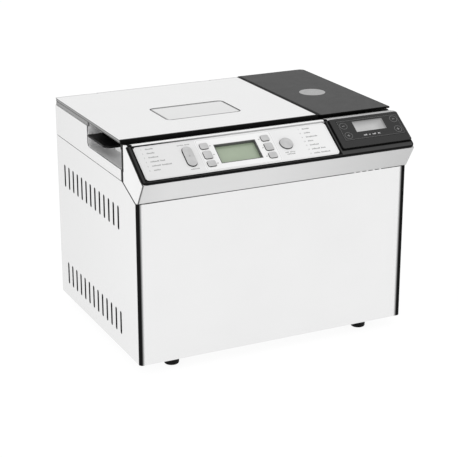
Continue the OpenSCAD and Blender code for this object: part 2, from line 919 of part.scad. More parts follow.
module heating_element() color("dimgray") {
    x0 = oven_x - element_half_w;
    x1 = oven_x + element_half_w;
    y0 = oven_y - element_half_d;
    y1 = oven_y + element_half_d;
    b = element_bend;
    gap = element_half_gap + element_r;
    rod([x0 + b, y0, element_z], element_r, x1 - x0 - 2 * b, "x");
    rod([x0 + b, y1, element_z], element_r, x1 - x0 - 2 * b, "x");
    rod([x0, y0 + b, element_z], element_r, y1 - y0 - 2 * b, "y");
    rod([x1, y0 + b, element_z], element_r, oven_y - gap - y0 - b, "y");
    rod([x1, oven_y + gap, element_z], element_r, y1 - b - oven_y - gap, "y");
    element_quarter(x0 + b, y0 + b, 180);
    element_quarter(x1 - b, y0 + b, 270);
    element_quarter(x1 - b, y1 - b, 0);
    element_quarter(x0 + b, y1 - b, 90);
    for (side = [-1, 1]) {
        translate([x1, oven_y + side * gap, element_z])
            sphere(element_r);
        rod([x1, oven_y + side * element_half_gap, element_z], element_r, 30, "x");
    }
}

module element_bushes() color("ivory") {
    wall_x = oven_x + oven_w / 2;
    for (y = [oven_y - element_half_gap, oven_y + element_half_gap])
        difference() {
            union() {
                rod([wall_x - 3, y, element_z], 5.9, 9, "x");
                rod([wall_x + 0.1, y, element_z], 8, 3, "x");
            }
            rod([oven_x, y, element_z], element_r + 0.1, oven_w, "x");
        }
}

module temperature_sensor() color("silver") {
    rod([oven_x, oven_y - oven_d / 2 - 12, sensor_z], 2.9, 20, "y");
    rod([oven_x, oven_y - oven_d / 2 - 6, sensor_z], 6, 5.9, "y");
}

// ---- Bread pan ----

module bread_pan() color("dimgray") {
    rim = 6;
    ring_r = 40;
    difference() {
        translate([oven_x, oven_y, 0]) {
            translate([0, 0, pan_floor_z])
                linear_extrude(height = pan_rim_z - pan_floor_z)
                    round_rect(pan_w, pan_d, pan_r);
            translate([0, 0, pan_rim_z - 2.5])
                linear_extrude(height = 2.5)
                    round_rect(pan_w + 2 * rim, pan_d + 2 * rim, pan_r + rim);
            rod([0, 0, oven_floor_z + oven_wall + 0.5], ring_r, pan_floor_z - oven_floor_z - oven_wall);
            for (side = [-1, 1])
                block([side * bail_x - 1.5, -9, pan_rim_z - 2.5], [side * bail_x + 1.5, 9, bail_z + 6]);
        }
        translate([oven_x, oven_y, pan_floor_z + pan_wall])
            linear_extrude(height = pan_rim_z)
                round_rect(pan_w - 2 * pan_wall, pan_d - 2 * pan_wall, pan_r - pan_wall);
        rod([oven_x, oven_y, oven_floor_z], ring_r - 1.5, pan_floor_z - oven_floor_z);
        rod([oven_x, oven_y, pan_floor_z - over], 8, 4 * over);
        rod([oven_x - body_w / 2, oven_y, bail_z], bail_wire_r + 0.1, body_w, "x");
    }
}

module pan_bearing() color("silver") {
    difference() {
        union() {
            rod([oven_x, oven_y, wing_z + 7], 14, pan_floor_z - wing_z - 7);
            rod([oven_x, oven_y, pan_floor_z - over], 8, pan_wall + 5);
        }
        rod([oven_x, oven_y, wing_z], shaft_r + running_gap, 40);
    }
}

module pan_handle() color("silver") {
    bend = 8;
    x = bail_x - 1;
    in_x = pan_w / 2;
    translate([oven_x, oven_y, bail_z]) {
        for (side = [-1, 1]) {
            rod([side * (x + 1) - 5, 0, 0], bail_wire_r, 10, "x");
            translate([side * (x + 6), 0, 0])
                sphere(bail_wire_r);
            translate([side * (x + 6), -bail_arm + bend, 0])
                rotate([-90, 0, 0])
                    cylinder(r = bail_wire_r, h = bail_arm - bend);
        }
        rod([-x - 6 + bend, -bail_arm, 0], bail_wire_r, 2 * (x + 6 - bend), "x");
        translate([-x - 6 + bend, -bail_arm + bend, 0])
            rotate([0, 0, 180])
                rotate_extrude(angle = 90)
                    translate([bend, 0])
                        circle(bail_wire_r);
        translate([x + 6 - bend, -bail_arm + bend, 0])
            rotate([0, 0, 270])
                rotate_extrude(angle = 90)
                    translate([bend, 0])
                        circle(bail_wire_r);
    }
}

module pan_shaft() color("silver") {
    rod([oven_x, oven_y, wing_z], shaft_r, 36);
    translate([oven_x, oven_y, wing_z + 2.5])
        cube([26, 6, 5], center = true);
}

module kneading_blade() color("dimgray") {
    low_z = pan_floor_z + pan_wall + 5.5;
    difference() {
        union() {
            rod([oven_x, oven_y, low_z], 9, 20);
            translate([oven_x + 5, oven_y - 2.5, low_z])
                cube([46, 5, 6]);
            translate([oven_x, oven_y + 2.5, low_z])
                rotate([90, 0, 0])
                    linear_extrude(height = 5)
                        polygon([[4, 0], [51, 0], [54, 3], [50, 18], [42, 26], [24, 22], [4, 18]]);
        }
        rod([oven_x, oven_y, low_z - over], shaft_r + running_gap, wing_z + 36.2 - low_z + over);
    }
}

// ---- Drive ----

// A bridge over the large pulley and a table for the motor, folded from sheet, with feet on the base plate
module chassis() color("silver") {
    x0 = drive_x - bridge_half_w;
    x1 = drive_x + bridge_half_w;
    y0 = drive_y - bridge_half_d;
    y1 = drive_y + bridge_half_d;
    motor_x0 = motor_x - table_half_w;
    motor_x1 = motor_x + table_half_w;
    motor_y0 = motor_y - table_half_d;
    motor_y1 = motor_y + table_half_d;
    top = chassis_z + chassis_t;
    leg_z = foot_h + base_t + 0.2;
    difference() {
        union() {
            block([x0, y0, chassis_z], [x1, y1, top]);
            for (x = [x0, x1 - chassis_t])
                block([x, y0, leg_z], [x + chassis_t, y1, chassis_z + over]);
            block([x0 - 14, y0, leg_z], [x0 + over, y1, leg_z + chassis_t]);
            block([x1 - over, y0, leg_z], [x1 + 10, y1, leg_z + chassis_t]);
            block([motor_x0, motor_y0, chassis_z], [motor_x1, motor_y1, top]);
            for (y = [motor_y0, motor_y1 - chassis_t])
                block([motor_x0, y, leg_z], [motor_x1, y + chassis_t, chassis_z + over]);
            block([x1 - over, motor_y0, chassis_z], [motor_x0 + chassis_t, motor_y1, top]);
        }
        rod([drive_x, drive_y, chassis_z - over], bearing_r + 0.2, 2 * chassis_t);
        rod([motor_x, motor_y, chassis_z - over], motor_hole_r, 2 * chassis_t);
        block([x1 - 2 * chassis_t, drive_y - belt_slot_half_d, leg_z + 3],
              [x1 + over / 2, drive_y + belt_slot_half_d, chassis_z - 12]);
    }
}

module drive_bearing() color("silver") {
    sleeve_z = pulley_z + pulley_h + 1.5;
    difference() {
        union() {
            rod([drive_x, drive_y, sleeve_z], bearing_r, coupling_z - 1 - sleeve_z);
            rod([drive_x, drive_y, chassis_z - 3], 24, 3);
        }
        rod([drive_x, drive_y, 0], shaft_r + running_gap, coupling_z);
        for (a = [45 : 90 : 315])
            rod([drive_x + 18 * cos(a), drive_y + 18 * sin(a), chassis_z - 4], 1.8, 5);
    }
}

module drive_shaft() color("silver") {
    prong_in = 6;
    prong_out = 13;
    prong_gap = 3.4;
    translate([drive_x, drive_y, 0]) {
        rod([0, 0, pulley_z - 3], shaft_r, coupling_z + 1 - pulley_z + 3);
        rod([0, 0, coupling_z], 15, 3);
        for (turn = [0, 180])
            rotate([0, 0, turn])
                block([prong_in, prong_gap, coupling_z + 2], [prong_out, 8, wing_z + 5]);
    }
}

// Outline of a toothed rim, with straight-sided teeth
module tooth_outline(teeth, r) {
    depth = 1.2;
    pitch = 360 / teeth;
    polygon([for (i = [0 : teeth - 1], corner = [[r - depth, 0], [r - depth, 0.4], [r, 0.5], [r, 0.9]])
                run_point(0, corner[0], (i + corner[1]) * pitch)]);
}

module toothed_pulley(teeth, r, hub_r) {
    rim = 1.2;
    difference() {
        union() {
            linear_extrude(height = pulley_h)
                tooth_outline(teeth, r);
            for (z = [0, pulley_h - rim])
                translate([0, 0, z])
                    cylinder(r = r + belt_t + belt_gap + 1, h = rim);
        }
        rod([0, 0, -over], hub_r, pulley_h + 2 * over);
    }
}

module drive_pulley() color("ivory") {
    translate([drive_x, drive_y, pulley_z])
        difference() {
            toothed_pulley(big_teeth, big_pulley_r, shaft_r);
            for (a = [30 : 60 : 330])
                rotate([0, 0, a])
                    rod([27, 0, -over], 9, pulley_h + 2 * over);
        }
}

module motor_pulley() color("silver") {
    translate([motor_x, motor_y, pulley_z])
        toothed_pulley(small_teeth, small_pulley_r, 3);
    rod([motor_x, motor_y, pulley_z - 2], 3, motor_z - pulley_z + 2 - 0.5);
}

// Outline of the belt: two pulley arcs joined by their outer tangents
module belt_plan(grow) {
    run = motor_x - drive_x;
    lean = acos((big_pulley_r - small_pulley_r) / run);
    step = 16;
    polygon(concat([for (a = [0 : step]) run_point(0, big_pulley_r + grow, lean + a * (180 - lean) / step)],
                   [for (a = [1 : step]) run_point(0, big_pulley_r + grow, 180 + a * (180 - lean) / step)],
                   [for (a = [0 : step]) run_point(run, small_pulley_r + grow, a * lean / step - lean)],
                   [for (a = [1 : step]) run_point(run, small_pulley_r + grow, a * lean / step)]));
}

function run_point(x, r, a) = [x + r * cos(a), r * sin(a)];

module drive_belt() color([0.1, 0.1, 0.1]) {
    translate([drive_x, drive_y, pulley_z + (pulley_h - belt_w) / 2])
        linear_extrude(height = belt_w)
            difference() {
                belt_plan(belt_gap + belt_t);
                belt_plan(belt_gap);
            }
}

// A shaded-pole motor: its laminated core between two end bells, on four feet
module motor() color("slategray") {
    bell_h = 14;
    foot_at = 24;
    slot_count = 10;
    difference() {
        union() {
            for (z = [motor_z, motor_z + motor_h - bell_h])
                rod([motor_x, motor_y, z], motor_r, bell_h);
            rod([motor_x, motor_y, motor_z + bell_h - over], motor_r - 4, motor_h - 2 * bell_h + 2 * over);
            for (x = [-foot_at, foot_at], y = [-foot_at, foot_at])
                rod([motor_x + x, motor_y + y, chassis_z + chassis_t], 4, 6);
        }
        rod([motor_x, motor_y, motor_z - over], 5, 8);
        for (i = [0 : slot_count - 1])
            rotate_about_motor(i * 360 / slot_count)
                block([18, -2.5, motor_h - 6], [34, 2.5, motor_h + over]);
    }
}

module rotate_about_motor(turn) {
    translate([motor_x, motor_y, motor_z])
        rotate([0, 0, turn])
            children();
}

// ---- Electronics ----

// The mains board with its transformer, relay, capacitor, connector and heat sink, on four spacers
module power_board() color("darkgreen") {
    x = [78, 186];
    z = [150, 232];
    y = back_y0 - 24;
    in = y + 0.5;
    spacer_in = 10;
    spacer_up = 3;
    block([x[0], y, z[0]], [x[1], y + board_t, z[1]]);
    block([84, y - 22, 158], [112, in, 184]);
    block([120, y - 16, 156], [136, in, 180]);
    rod([152, y - 30, 172], 9, 30.5, "y");
    block([84, y - 12, 200], [98, in, 226]);
    block([146, y - 18, 196], [180, in, 226]);
    for (px = [x[0] + spacer_in, x[1] - spacer_in], pz = [z[0] + spacer_up, z[1] - spacer_up])
        rod([px, y + 1, pz], 2.5, 23, "y");
}

casing_wrap();
back_panel();
base_plate();
foot(-foot_x, foot_ys[0]);  // foot_front_left
foot(foot_x, foot_ys[0]);  // foot_front_right
foot(-foot_x, foot_ys[1]);  // foot_back_left
foot(foot_x, foot_ys[1]);  // foot_back_right
foot_screws();
top_frame();
recess_liner();
fascia_body();
bezel();
control_panel();
display_surround();
display_lens();
display_module();
control_board();
key_cap(left_keys_u, key_rows[0]);  // key_left_top
key_cap(left_keys_u, key_rows[1]);  // key_left_middle
key_cap(left_keys_u, key_rows[2]);  // key_left_bottom
key_cap(right_keys_u, key_rows[0]);  // key_right_top
key_cap(right_keys_u, key_rows[1]);  // key_right_middle
key_cap(right_keys_u, key_rows[2]);  // key_right_bottom
start_key();
menu_rocker();
scale_head();
scale_glass();
scale_display();
scale_board();
scale_platform();
platform_disc();
platform_post();
load_cell();
scale_tray();
lid_cover();
lid_liner();
lid_heat_plate();
lid_window();
window_gasket();
handle_tab();
hinge_brackets();
hinge_pin();
oven_chamber();
heating_element();
element_bushes();
temperature_sensor();
bread_pan();
pan_bearing();
pan_handle();
pan_shaft();
kneading_blade();
drive_shaft();
drive_bearing();
drive_pulley();
drive_belt();
motor_pulley();
motor();
chassis();
power_board();
cord_gland();
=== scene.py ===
import math

import bmesh
import bpy
from mathutils import Matrix, Vector


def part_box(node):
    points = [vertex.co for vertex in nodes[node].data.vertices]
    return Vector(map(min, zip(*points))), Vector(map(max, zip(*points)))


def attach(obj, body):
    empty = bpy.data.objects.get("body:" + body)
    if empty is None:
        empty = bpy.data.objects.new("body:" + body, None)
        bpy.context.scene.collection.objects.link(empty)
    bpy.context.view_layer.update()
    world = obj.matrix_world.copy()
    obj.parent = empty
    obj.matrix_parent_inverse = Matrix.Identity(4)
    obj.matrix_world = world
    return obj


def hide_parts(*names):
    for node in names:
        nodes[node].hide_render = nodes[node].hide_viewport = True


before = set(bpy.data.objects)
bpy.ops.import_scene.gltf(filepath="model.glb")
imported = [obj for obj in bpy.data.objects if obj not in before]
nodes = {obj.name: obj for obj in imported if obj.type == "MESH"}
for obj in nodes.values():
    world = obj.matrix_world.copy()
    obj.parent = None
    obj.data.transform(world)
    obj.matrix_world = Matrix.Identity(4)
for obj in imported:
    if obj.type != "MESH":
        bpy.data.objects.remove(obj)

MM = 0.001
scene = bpy.context.scene
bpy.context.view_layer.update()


# ---------------------------------------------------------------- the control face's own axes

SLOPE = math.radians(34.3)
BEZEL_T = 3 * MM
face_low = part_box("bezel")[0]
FACE_ORIGIN = Vector((0, face_low.y, face_low.z + BEZEL_T * math.cos(SLOPE)))
FACE = Matrix.Translation(FACE_ORIGIN) @ Matrix.Rotation(SLOPE, 4, "X")


def face(u, v, w=0.0):
    """A point of the control face from millimetres across, up the slope and out of it."""
    return FACE @ Vector((u * MM, v * MM, w * MM))


# ---------------------------------------------------------------- materials

class Look:
    """A node-based material built up step by step around one Principled shader."""

    def __init__(self, name, rough=0.5, metallic=0.0, specular=0.5, coat=0.0, coat_rough=0.05, ior=1.5):
        self.material = bpy.data.materials.new(name)
        self.material.use_nodes = True
        self.nodes = self.material.node_tree.nodes
        self.links = self.material.node_tree.links
        self.shader = next(n for n in self.nodes if n.type == "BSDF_PRINCIPLED")
        self.shader.inputs["Roughness"].default_value = rough
        self.shader.inputs["Metallic"].default_value = metallic
        self.shader.inputs["Specular IOR Level"].default_value = specular
        self.shader.inputs["IOR"].default_value = ior
        self.shader.inputs["Coat Weight"].default_value = coat
        self.shader.inputs["Coat Roughness"].default_value = coat_rough
        self.place = self.add("TexCoord").outputs["Object"]

    def add(self, kind, settings=None, **inputs):
        node = self.nodes.new("ShaderNode" + kind)
        for key, value in (settings or {}).items():
            setattr(node, key, value)
        for key, value in inputs.items():
            self.put(node.inputs[key.replace("_", " ")], value)
        return node

    def put(self, socket, value):
        if isinstance(value, bpy.types.NodeSocket):
            self.links.new(value, socket)
        else:
            socket.default_value = value

    def on_face(self):
        """Coordinates along the control face, in metres."""
        return self.add("Mapping", {"vector_type": "TEXTURE"}, Vector=self.place,
                        Location=FACE_ORIGIN, Rotation=(SLOPE, 0, 0)).outputs[0]

    def around(self, centre, turn=(0, 0, 0)):
        """Coordinates measured from a point, in metres."""
        return self.add("Mapping", {"vector_type": "TEXTURE"}, Vector=self.place,
                        Location=centre, Rotation=turn).outputs[0]

    def axes(self, vector):
        return self.add("SeparateXYZ", Vector=vector).outputs

    def noise(self, size, stretch=(1, 1, 1), detail=3.0, rough=0.55, coords=None, swirl=0.0):
        """Noise with features of about `size` metres, longer along each stretched axis."""
        scaled = self.add("Mapping", Vector=coords or self.place, Scale=[1 / (size * s) for s in stretch])
        return self.add("TexNoise", Vector=scaled.outputs[0], Scale=1.0, Detail=detail, Roughness=rough,
                        Distortion=swirl).outputs["Fac"]

    def maths(self, operation, a, b=0.0, c=0.0, clamp=False):
        node = self.add("Math", {"operation": operation, "use_clamp": clamp})
        self.put(node.inputs[0], a)
        self.put(node.inputs[1], b)
        self.put(node.inputs[2], c)
        return node.outputs[0]

    def ramp(self, value, start, end, low=0.0, high=1.0, smooth=False):
        settings = {"interpolation_type": "SMOOTHSTEP"} if smooth else None
        return self.add("MapRange", settings, Value=value, From_Min=start, From_Max=end, To_Min=low,
                        To_Max=high).outputs["Result"]

    def blend(self, share, a, b):
        node = self.add("Mix", {"data_type": "RGBA"})
        self.put(node.inputs[0], share)
        self.put(node.inputs[6], a)
        self.put(node.inputs[7], b)
        return node.outputs[2]

    def outside(self, axes, middle, half):
        """How far a point of the plane lies outside a rectangle, in metres, and negative inside it."""
        gaps = [self.maths("SUBTRACT", self.maths("ABSOLUTE", self.maths("SUBTRACT", axes[i], middle[i])), half[i])
                for i in range(2)]
        return self.maths("MAXIMUM", *gaps)

    def edge(self, radius):
        """1 along sharp edges and 0 on flat faces."""
        soft = self.add("Bevel", {"samples": 4}, Radius=radius).outputs[0]
        flat = self.add("NewGeometry").outputs["Normal"]
        dot = self.add("VectorMath", {"operation": "DOT_PRODUCT"})
        self.put(dot.inputs[0], soft)
        self.put(dot.inputs[1], flat)
        return self.ramp(dot.outputs["Value"], 0.995, 0.86)

    def bump(self, height, distance, strength=1.0):
        """Adds a height to the surface's bump, the height's full swing being `distance` metres."""
        socket = self.shader.inputs["Normal"]
        node = self.add("Bump", Strength=strength, Distance=distance, Height=height)
        if socket.links:
            self.put(node.inputs["Normal"], socket.links[0].from_socket)
        self.put(socket, node.outputs[0])

    def colour(self, value):
        self.put(self.shader.inputs["Base Color"], value)

    def rough(self, value):
        self.put(self.shader.inputs["Roughness"], value)


def grey(level, warm=0.0):
    """A linear grey with alpha, a little warm or cool."""
    return (level * (1 + warm), level, level * (1 - warm), 1.0)


def tint(colour, factor):
    return tuple(min(1.0, c * factor) for c in colour[:3]) + (1.0,)


def finish_surface(look, colour, tone, patch, rough, spread, grain, bump, edge=None, stretch=(1, 1, 1)):
    """The layers most surfaces share: broad tone changes, grain in gloss and height, and worn edges."""
    broad = look.ramp(look.noise(patch, detail=4.0, rough=0.6), 0.3, 0.7)
    base = look.blend(broad, tint(colour, 1 - tone), tint(colour, 1 + tone))
    fine = look.noise(grain, stretch, detail=3.0)
    base = look.blend(look.ramp(fine, 0.35, 0.65, 0.0, 0.35), base, tint(colour, 1 - 2.5 * tone))
    if edge:
        radius, edge_colour, share = edge
        worn = look.maths("MULTIPLY", look.edge(radius), look.ramp(look.noise(0.006), 0.3, 0.6, 0.4, 1.0))
        base = look.blend(look.maths("MULTIPLY", worn, share), base, edge_colour)
    look.colour(base)
    smudge = look.noise(patch * 0.6, detail=5.0, rough=0.7, swirl=0.6)
    mixed = look.maths("ADD", look.maths("MULTIPLY", fine, 0.5), look.maths("MULTIPLY", smudge, 0.5))
    look.rough(look.ramp(mixed, 0.35, 0.65, rough - spread, rough + spread))
    look.bump(fine, bump)
    return look


def plastic(name, colour, rough=0.42, grain=0.00045, bump=0.00002, tone=0.06, specular=0.5, edge=None,
            coat=0.0, ior=1.5):
    look = Look(name, specular=specular, coat=coat, ior=ior)
    return finish_surface(look, colour, tone, 0.03, rough, 0.05, grain, bump, edge)


def sheet_metal(name, colour, rough, along, bump=0.0000035, tone=0.012, spread=0.05):
    """Brushed sheet: hair-fine lines that run along the stretched axes, and faint cloudy smudges."""
    look = Look(name, metallic=1.0, ior=1.05)
    return finish_surface(look, colour, tone, 0.09, rough, spread, 0.00035, bump, stretch=along)


def turned_metal(name, colour, rough, centre, axis_turn=(0, 0, 0), ring=0.0004, bump=0.00001):
    """Metal with fine turning marks in circles about a centre line."""
    look = Look(name, metallic=1.0)
    axes = look.axes(look.around(centre, axis_turn))
    radius = look.maths("SQRT", look.maths("ADD", look.maths("POWER", axes[0], 2.0),
                                            look.maths("POWER", axes[1], 2.0)))
    flat = look.add("CombineXYZ", X=radius).outputs[0]
    rings = look.noise(ring, coords=flat, detail=2.0)
    cloud = look.ramp(look.noise(0.01), 0.3, 0.7)
    look.colour(look.blend(cloud, tint(colour, 0.93), tint(colour, 1.04)))
    look.rough(look.ramp(rings, 0.3, 0.7, rough - 0.06, rough + 0.08))
    look.bump(rings, bump)
    return look


WALL = (600, 600, 1)      # lines run level on upright sheets
ACROSS = (600, 1, 600)    # lines run left to right on level sheets


def shade_sides(look, steel):
    """Paints shade on the sheet's left and right walls, dimming them a little, more towards the back."""
    axes = look.axes(look.place)
    flank = look.ramp(look.maths("ABSOLUTE", axes[0]), 0.1993, 0.1996)
    painted_shade = look.blend(look.ramp(axes[1], -0.14, 0.15), grey(0.82), grey(0.755))
    return look.blend(flank, steel, painted_shade)


def casing_steel():
    """The wrapped sheet, dark grey on its inner face, with a painted reflection in a dark band along each of its
    two front bends.
    """
    look = sheet_metal("steel_wall", grey(0.835), 0.2, WALL)
    axes = look.axes(look.place)
    across = look.maths("ABSOLUTE", axes[0])
    # Painted reflection: a near-black band along each front bend.
    left = look.ramp(axes[0], -0.1928, -0.1972, smooth=True)
    right = look.ramp(axes[0], 0.1885, 0.1935, smooth=True)
    front = look.ramp(axes[1], -0.1342, -0.1353)
    bend_reflection = look.maths("MULTIPLY", look.maths("MAXIMUM", left, right), front)
    outer = look.maths("MAXIMUM", look.ramp(across, 0.1993, 0.1996), look.ramp(axes[1], -0.1392, -0.1395))
    # Painted shade on the left and right walls.
    steel = shade_sides(look, look.shader.inputs["Base Color"].links[0].from_socket)
    wrapped = look.blend(outer, grey(0.05), steel)
    look.colour(look.blend(bend_reflection, wrapped, grey(0.008)))
    # Metallic falls away under the painted reflection, so the band stays black.
    look.put(look.shader.inputs["Metallic"], look.ramp(bend_reflection, 0.0, 0.7, 1.0, 0.0))
    return look


def lid_steel():
    """The lid's pressed skin: bright on top, grey at the back, with painted shade in dark lines round its edges,
    and black along the front.
    """
    look = sheet_metal("steel_lid", grey(0.87), 0.2, ACROSS)
    axes = look.axes(look.place)
    low_corner, high_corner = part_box("lid_cover")
    top, front, right = high_corner.z, low_corner.y, high_corner.x
    side = look.ramp(axes[2], top - 0.0003, top - 0.0006)
    rear = look.ramp(axes[1], 0.1536, 0.1548)
    steel = look.shader.inputs["Base Color"].links[0].from_socket
    # Painted shade: dark and lighter lines down the lid's edge, for the shade of its hem and of the gap beneath
    # it.
    hem_shade = look.blend(look.ramp(axes[2], top - 0.0014, top - 0.0020), grey(0.07), grey(0.27))
    hem_shade = look.blend(look.ramp(axes[2], top - 0.0032, top - 0.0038), hem_shade, grey(0.05))
    base = look.blend(side, look.blend(rear, steel, grey(0.5)), hem_shade)
    nose = look.ramp(axes[1], front + 0.0042, front + 0.0034)
    seam = look.ramp(axes[0], right - 0.0034, right - 0.0028)
    sealed = look.maths("MAXIMUM", nose, seam)
    look.colour(look.blend(sealed, base, grey(0.006)))
    look.put(look.shader.inputs["Metallic"], look.ramp(sealed, 0.0, 0.7, 1.0, 0.0))
    return look


def frame_steel():
    """The upper band, with painted shade on its left and right walls and a near-black edge against the fascia,
    painted shade of the gap between them.
    """
    look = sheet_metal("steel_frame", grey(0.845), 0.22, WALL)
    axes = look.axes(look.place)
    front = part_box("top_frame")[0].y
    # Painted shade on the left and right walls.
    steel = shade_sides(look, look.shader.inputs["Base Color"].links[0].from_socket)
    # Painted shade: a near-black edge where the band meets the fascia.
    look.colour(look.blend(look.ramp(axes[1], front + 0.0016, front + 0.0010), steel, grey(0.01)))
    return look


def fascia_lacquer():
    """Satin silver, paler on the cheeks and the top strip, with painted shade under the nose, on the left cheek
    and in black lines at the cheeks' back edge, and a painted reflection at the left fold.
    """
    look = plastic("silver_lacquer", grey(0.7), 0.34, grain=0.0003, bump=0.000006, tone=0.015, ior=1.12)
    axes = look.axes(look.place)
    across = look.maths("ABSOLUTE", axes[0])
    fleck = look.ramp(look.noise(0.0003), 0.35, 0.65)
    # Painted shade under the nose: a little darker at the left end and darker still towards the right.
    under = look.blend(look.ramp(axes[0], -0.195, -0.160), grey(0.68), grey(0.74))
    under = look.blend(look.ramp(axes[0], -0.02, 0.2), under, grey(0.55))
    under = look.blend(look.maths("MULTIPLY", fleck, 0.3), under, grey(0.605))
    pale = look.blend(fleck, grey(0.90), grey(0.87))
    # Painted shade: the left cheek is painted darker than the right.
    pale = look.blend(look.ramp(axes[0], -0.1991, -0.1995), pale, grey(0.68))
    cheek = look.maths("MAXIMUM", look.ramp(across, 0.1994, 0.1997), look.ramp(axes[2], 0.285, 0.287))
    # Painted reflection: a dark band along the left front bend under the nose.
    fold_reflection = look.maths("MULTIPLY", look.ramp(axes[0], -0.1966, -0.1982), look.ramp(axes[0], -0.1996, -0.1992))
    under = look.blend(fold_reflection, under, grey(0.11))
    over_scale = look.ramp(axes[0], 0.090, 0.092)
    pale = look.blend(look.maths("MULTIPLY", over_scale, look.ramp(across, 0.1990, 0.1985)), pale, grey(0.5))
    base = look.blend(cheek, under, pale)
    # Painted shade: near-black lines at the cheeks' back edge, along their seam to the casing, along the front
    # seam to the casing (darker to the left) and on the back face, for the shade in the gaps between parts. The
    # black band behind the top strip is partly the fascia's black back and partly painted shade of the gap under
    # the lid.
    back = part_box("fascia_body")[1].y
    behind = look.maths("SUBTRACT", back, axes[1])
    strip = look.maths("MULTIPLY", look.ramp(axes[2], 0.2975, 0.2985), look.ramp(across, 0.1992, 0.1990))
    rear = look.maths("MULTIPLY", look.maths("LESS_THAN", behind, look.ramp(over_scale, 0.0, 1.0, 0.0092, 0.0040)),
                      strip)
    flank = look.ramp(across, 0.1990, 0.1993)
    height = look.maths("MULTIPLY_ADD", axes[1], -0.385, look.maths("MULTIPLY_ADD", axes[2], 0.923, -0.27115))
    edge_width = look.ramp(axes[2], 0.2695, 0.2705, 0.0052, 0.0066)
    edges = look.maths("MAXIMUM", look.maths("LESS_THAN", behind, edge_width), look.ramp(height, 0.0020, 0.0015))
    foot = look.maths("MULTIPLY", look.ramp(axes[2], 0.2396, 0.2391), look.ramp(axes[0], -0.08, -0.195, 0.0, 0.8))
    rim = look.maths("MAXIMUM", rear, look.maths("MAXIMUM", look.maths("MULTIPLY", flank, edges), foot))
    rim = look.maths("MAXIMUM", rim, look.ramp(behind, 0.0014, 0.0008))
    post = look.maths("MULTIPLY", look.ramp(axes[0], -0.1985, -0.1980), look.ramp(axes[0], -0.1915, -0.1920))
    divider = look.maths("MULTIPLY", look.ramp(axes[0], 0.0864, 0.0868), look.ramp(axes[0], 0.0922, 0.0918))
    across_strip = look.maths("MULTIPLY", look.maths("MAXIMUM", post, divider), strip)
    look.colour(look.blend(look.maths("MAXIMUM", rim, across_strip), base, grey(0.006)))
    return look


def bezel_paint():
    """Satin dark face with deeper black borders along its outer edge and the panel, painted shadow round the scale
    head, and a painted reflection along the top edge above the panel.
    """
    look = plastic("bezel_paint", grey(0.058), 0.4, grain=0.0003, bump=0.000008, tone=0.05, specular=0.06)
    axes = look.axes(look.on_face())
    outer = look.maths("MINIMUM", look.maths("SUBTRACT", 0.2, look.maths("ABSOLUTE", axes[0])), axes[1])
    rim = look.ramp(outer, 0.0027, 0.0021)
    panel = look.outside(axes, (-0.053, 0.03325), (0.1393, 0.02805))
    near_panel = look.ramp(panel, 0.0025, 0.0019)
    # Painted shadow: a black border round the scale head, for the shade it casts on the face.
    head = look.outside(axes, (0.146, 0.0363), (0.0535, 0.0257))
    head_shadow = look.ramp(head, 0.0026, 0.0018)
    border = look.maths("MAXIMUM", look.maths("MAXIMUM", rim, near_panel), head_shadow)
    base = look.shader.inputs["Base Color"].links[0].from_socket
    base = look.blend(look.ramp(axes[0], -0.190, -0.193), base, grey(0.032))
    painted = look.blend(border, base, grey(0.003))
    # Painted reflection: the top edge above the panel turns pale grey, more towards the right.
    above = look.maths("MULTIPLY", look.ramp(axes[1], 0.0609, 0.0611), look.ramp(axes[0], 0.0868, 0.0864))
    fade = look.ramp(axes[0], -0.17, -0.05, 0.0, 0.9)
    look.colour(look.blend(look.maths("MULTIPLY", above, fade), painted, grey(0.5)))
    return look


def panel_print():
    """Silver-white printed panel, paler to the right, its middle zone brighter still."""
    look = Look("panel_print", specular=0.5, coat=0.15, coat_rough=0.2)
    axes = look.axes(look.on_face())
    zone = look.ramp(axes[2], -0.0005, -0.0003)
    sweep = look.ramp(axes[0], -0.19, 0.08)
    fleck = look.noise(0.00025, detail=2.0)
    outer = look.blend(sweep, grey(0.71), grey(0.83))
    inner = look.blend(sweep, grey(0.83), grey(0.88))
    base = look.blend(zone, outer, inner)
    base = look.blend(look.ramp(fleck, 0.4, 0.7, 0.0, 0.25), base, grey(0.92))
    # Painted shade: near-black on the panel's side walls.
    painted_wall_shade = look.ramp(axes[2], -0.0009, -0.0014)
    look.colour(look.blend(painted_wall_shade, base, grey(0.05)))
    look.rough(look.ramp(fleck, 0.3, 0.7, 0.3, 0.42))
    look.bump(fleck, 0.000006)
    return look


def lcd(name, pale, deep, pitch=0.0011, shade=None):
    """A reflective display seen through its window: a faint cell grid over a soft gradient."""
    look = Look(name, rough=0.35, specular=0.4, coat=0.7, coat_rough=0.03)
    axes = look.axes(look.on_face())
    cells = look.maths("MULTIPLY", look.maths("SINE", look.maths("MULTIPLY", axes[0], 2 * math.pi / pitch)),
                       look.maths("SINE", look.maths("MULTIPLY", axes[1], 2 * math.pi / pitch)))
    cloud = look.ramp(look.noise(0.02, detail=2.0), 0.3, 0.7)
    base = look.blend(cloud, pale, tint(pale, 0.93))
    base = look.blend(look.ramp(cells, 0.2, 0.9, 0.0, 0.10), base, deep)
    # Painted shade along the display's right and top edges, where its window's walls shade it.
    if shade:
        across, up = shade
        painted_shade = look.maths("MAXIMUM", look.ramp(axes[0], *across, smooth=True), look.ramp(axes[1], *up, smooth=True))
        base = look.blend(painted_shade, base, deep)
    look.colour(base)
    look.rough(look.ramp(cloud, 0.0, 1.0, 0.3, 0.4))
    look.bump(cells, 0.000002)
    return look


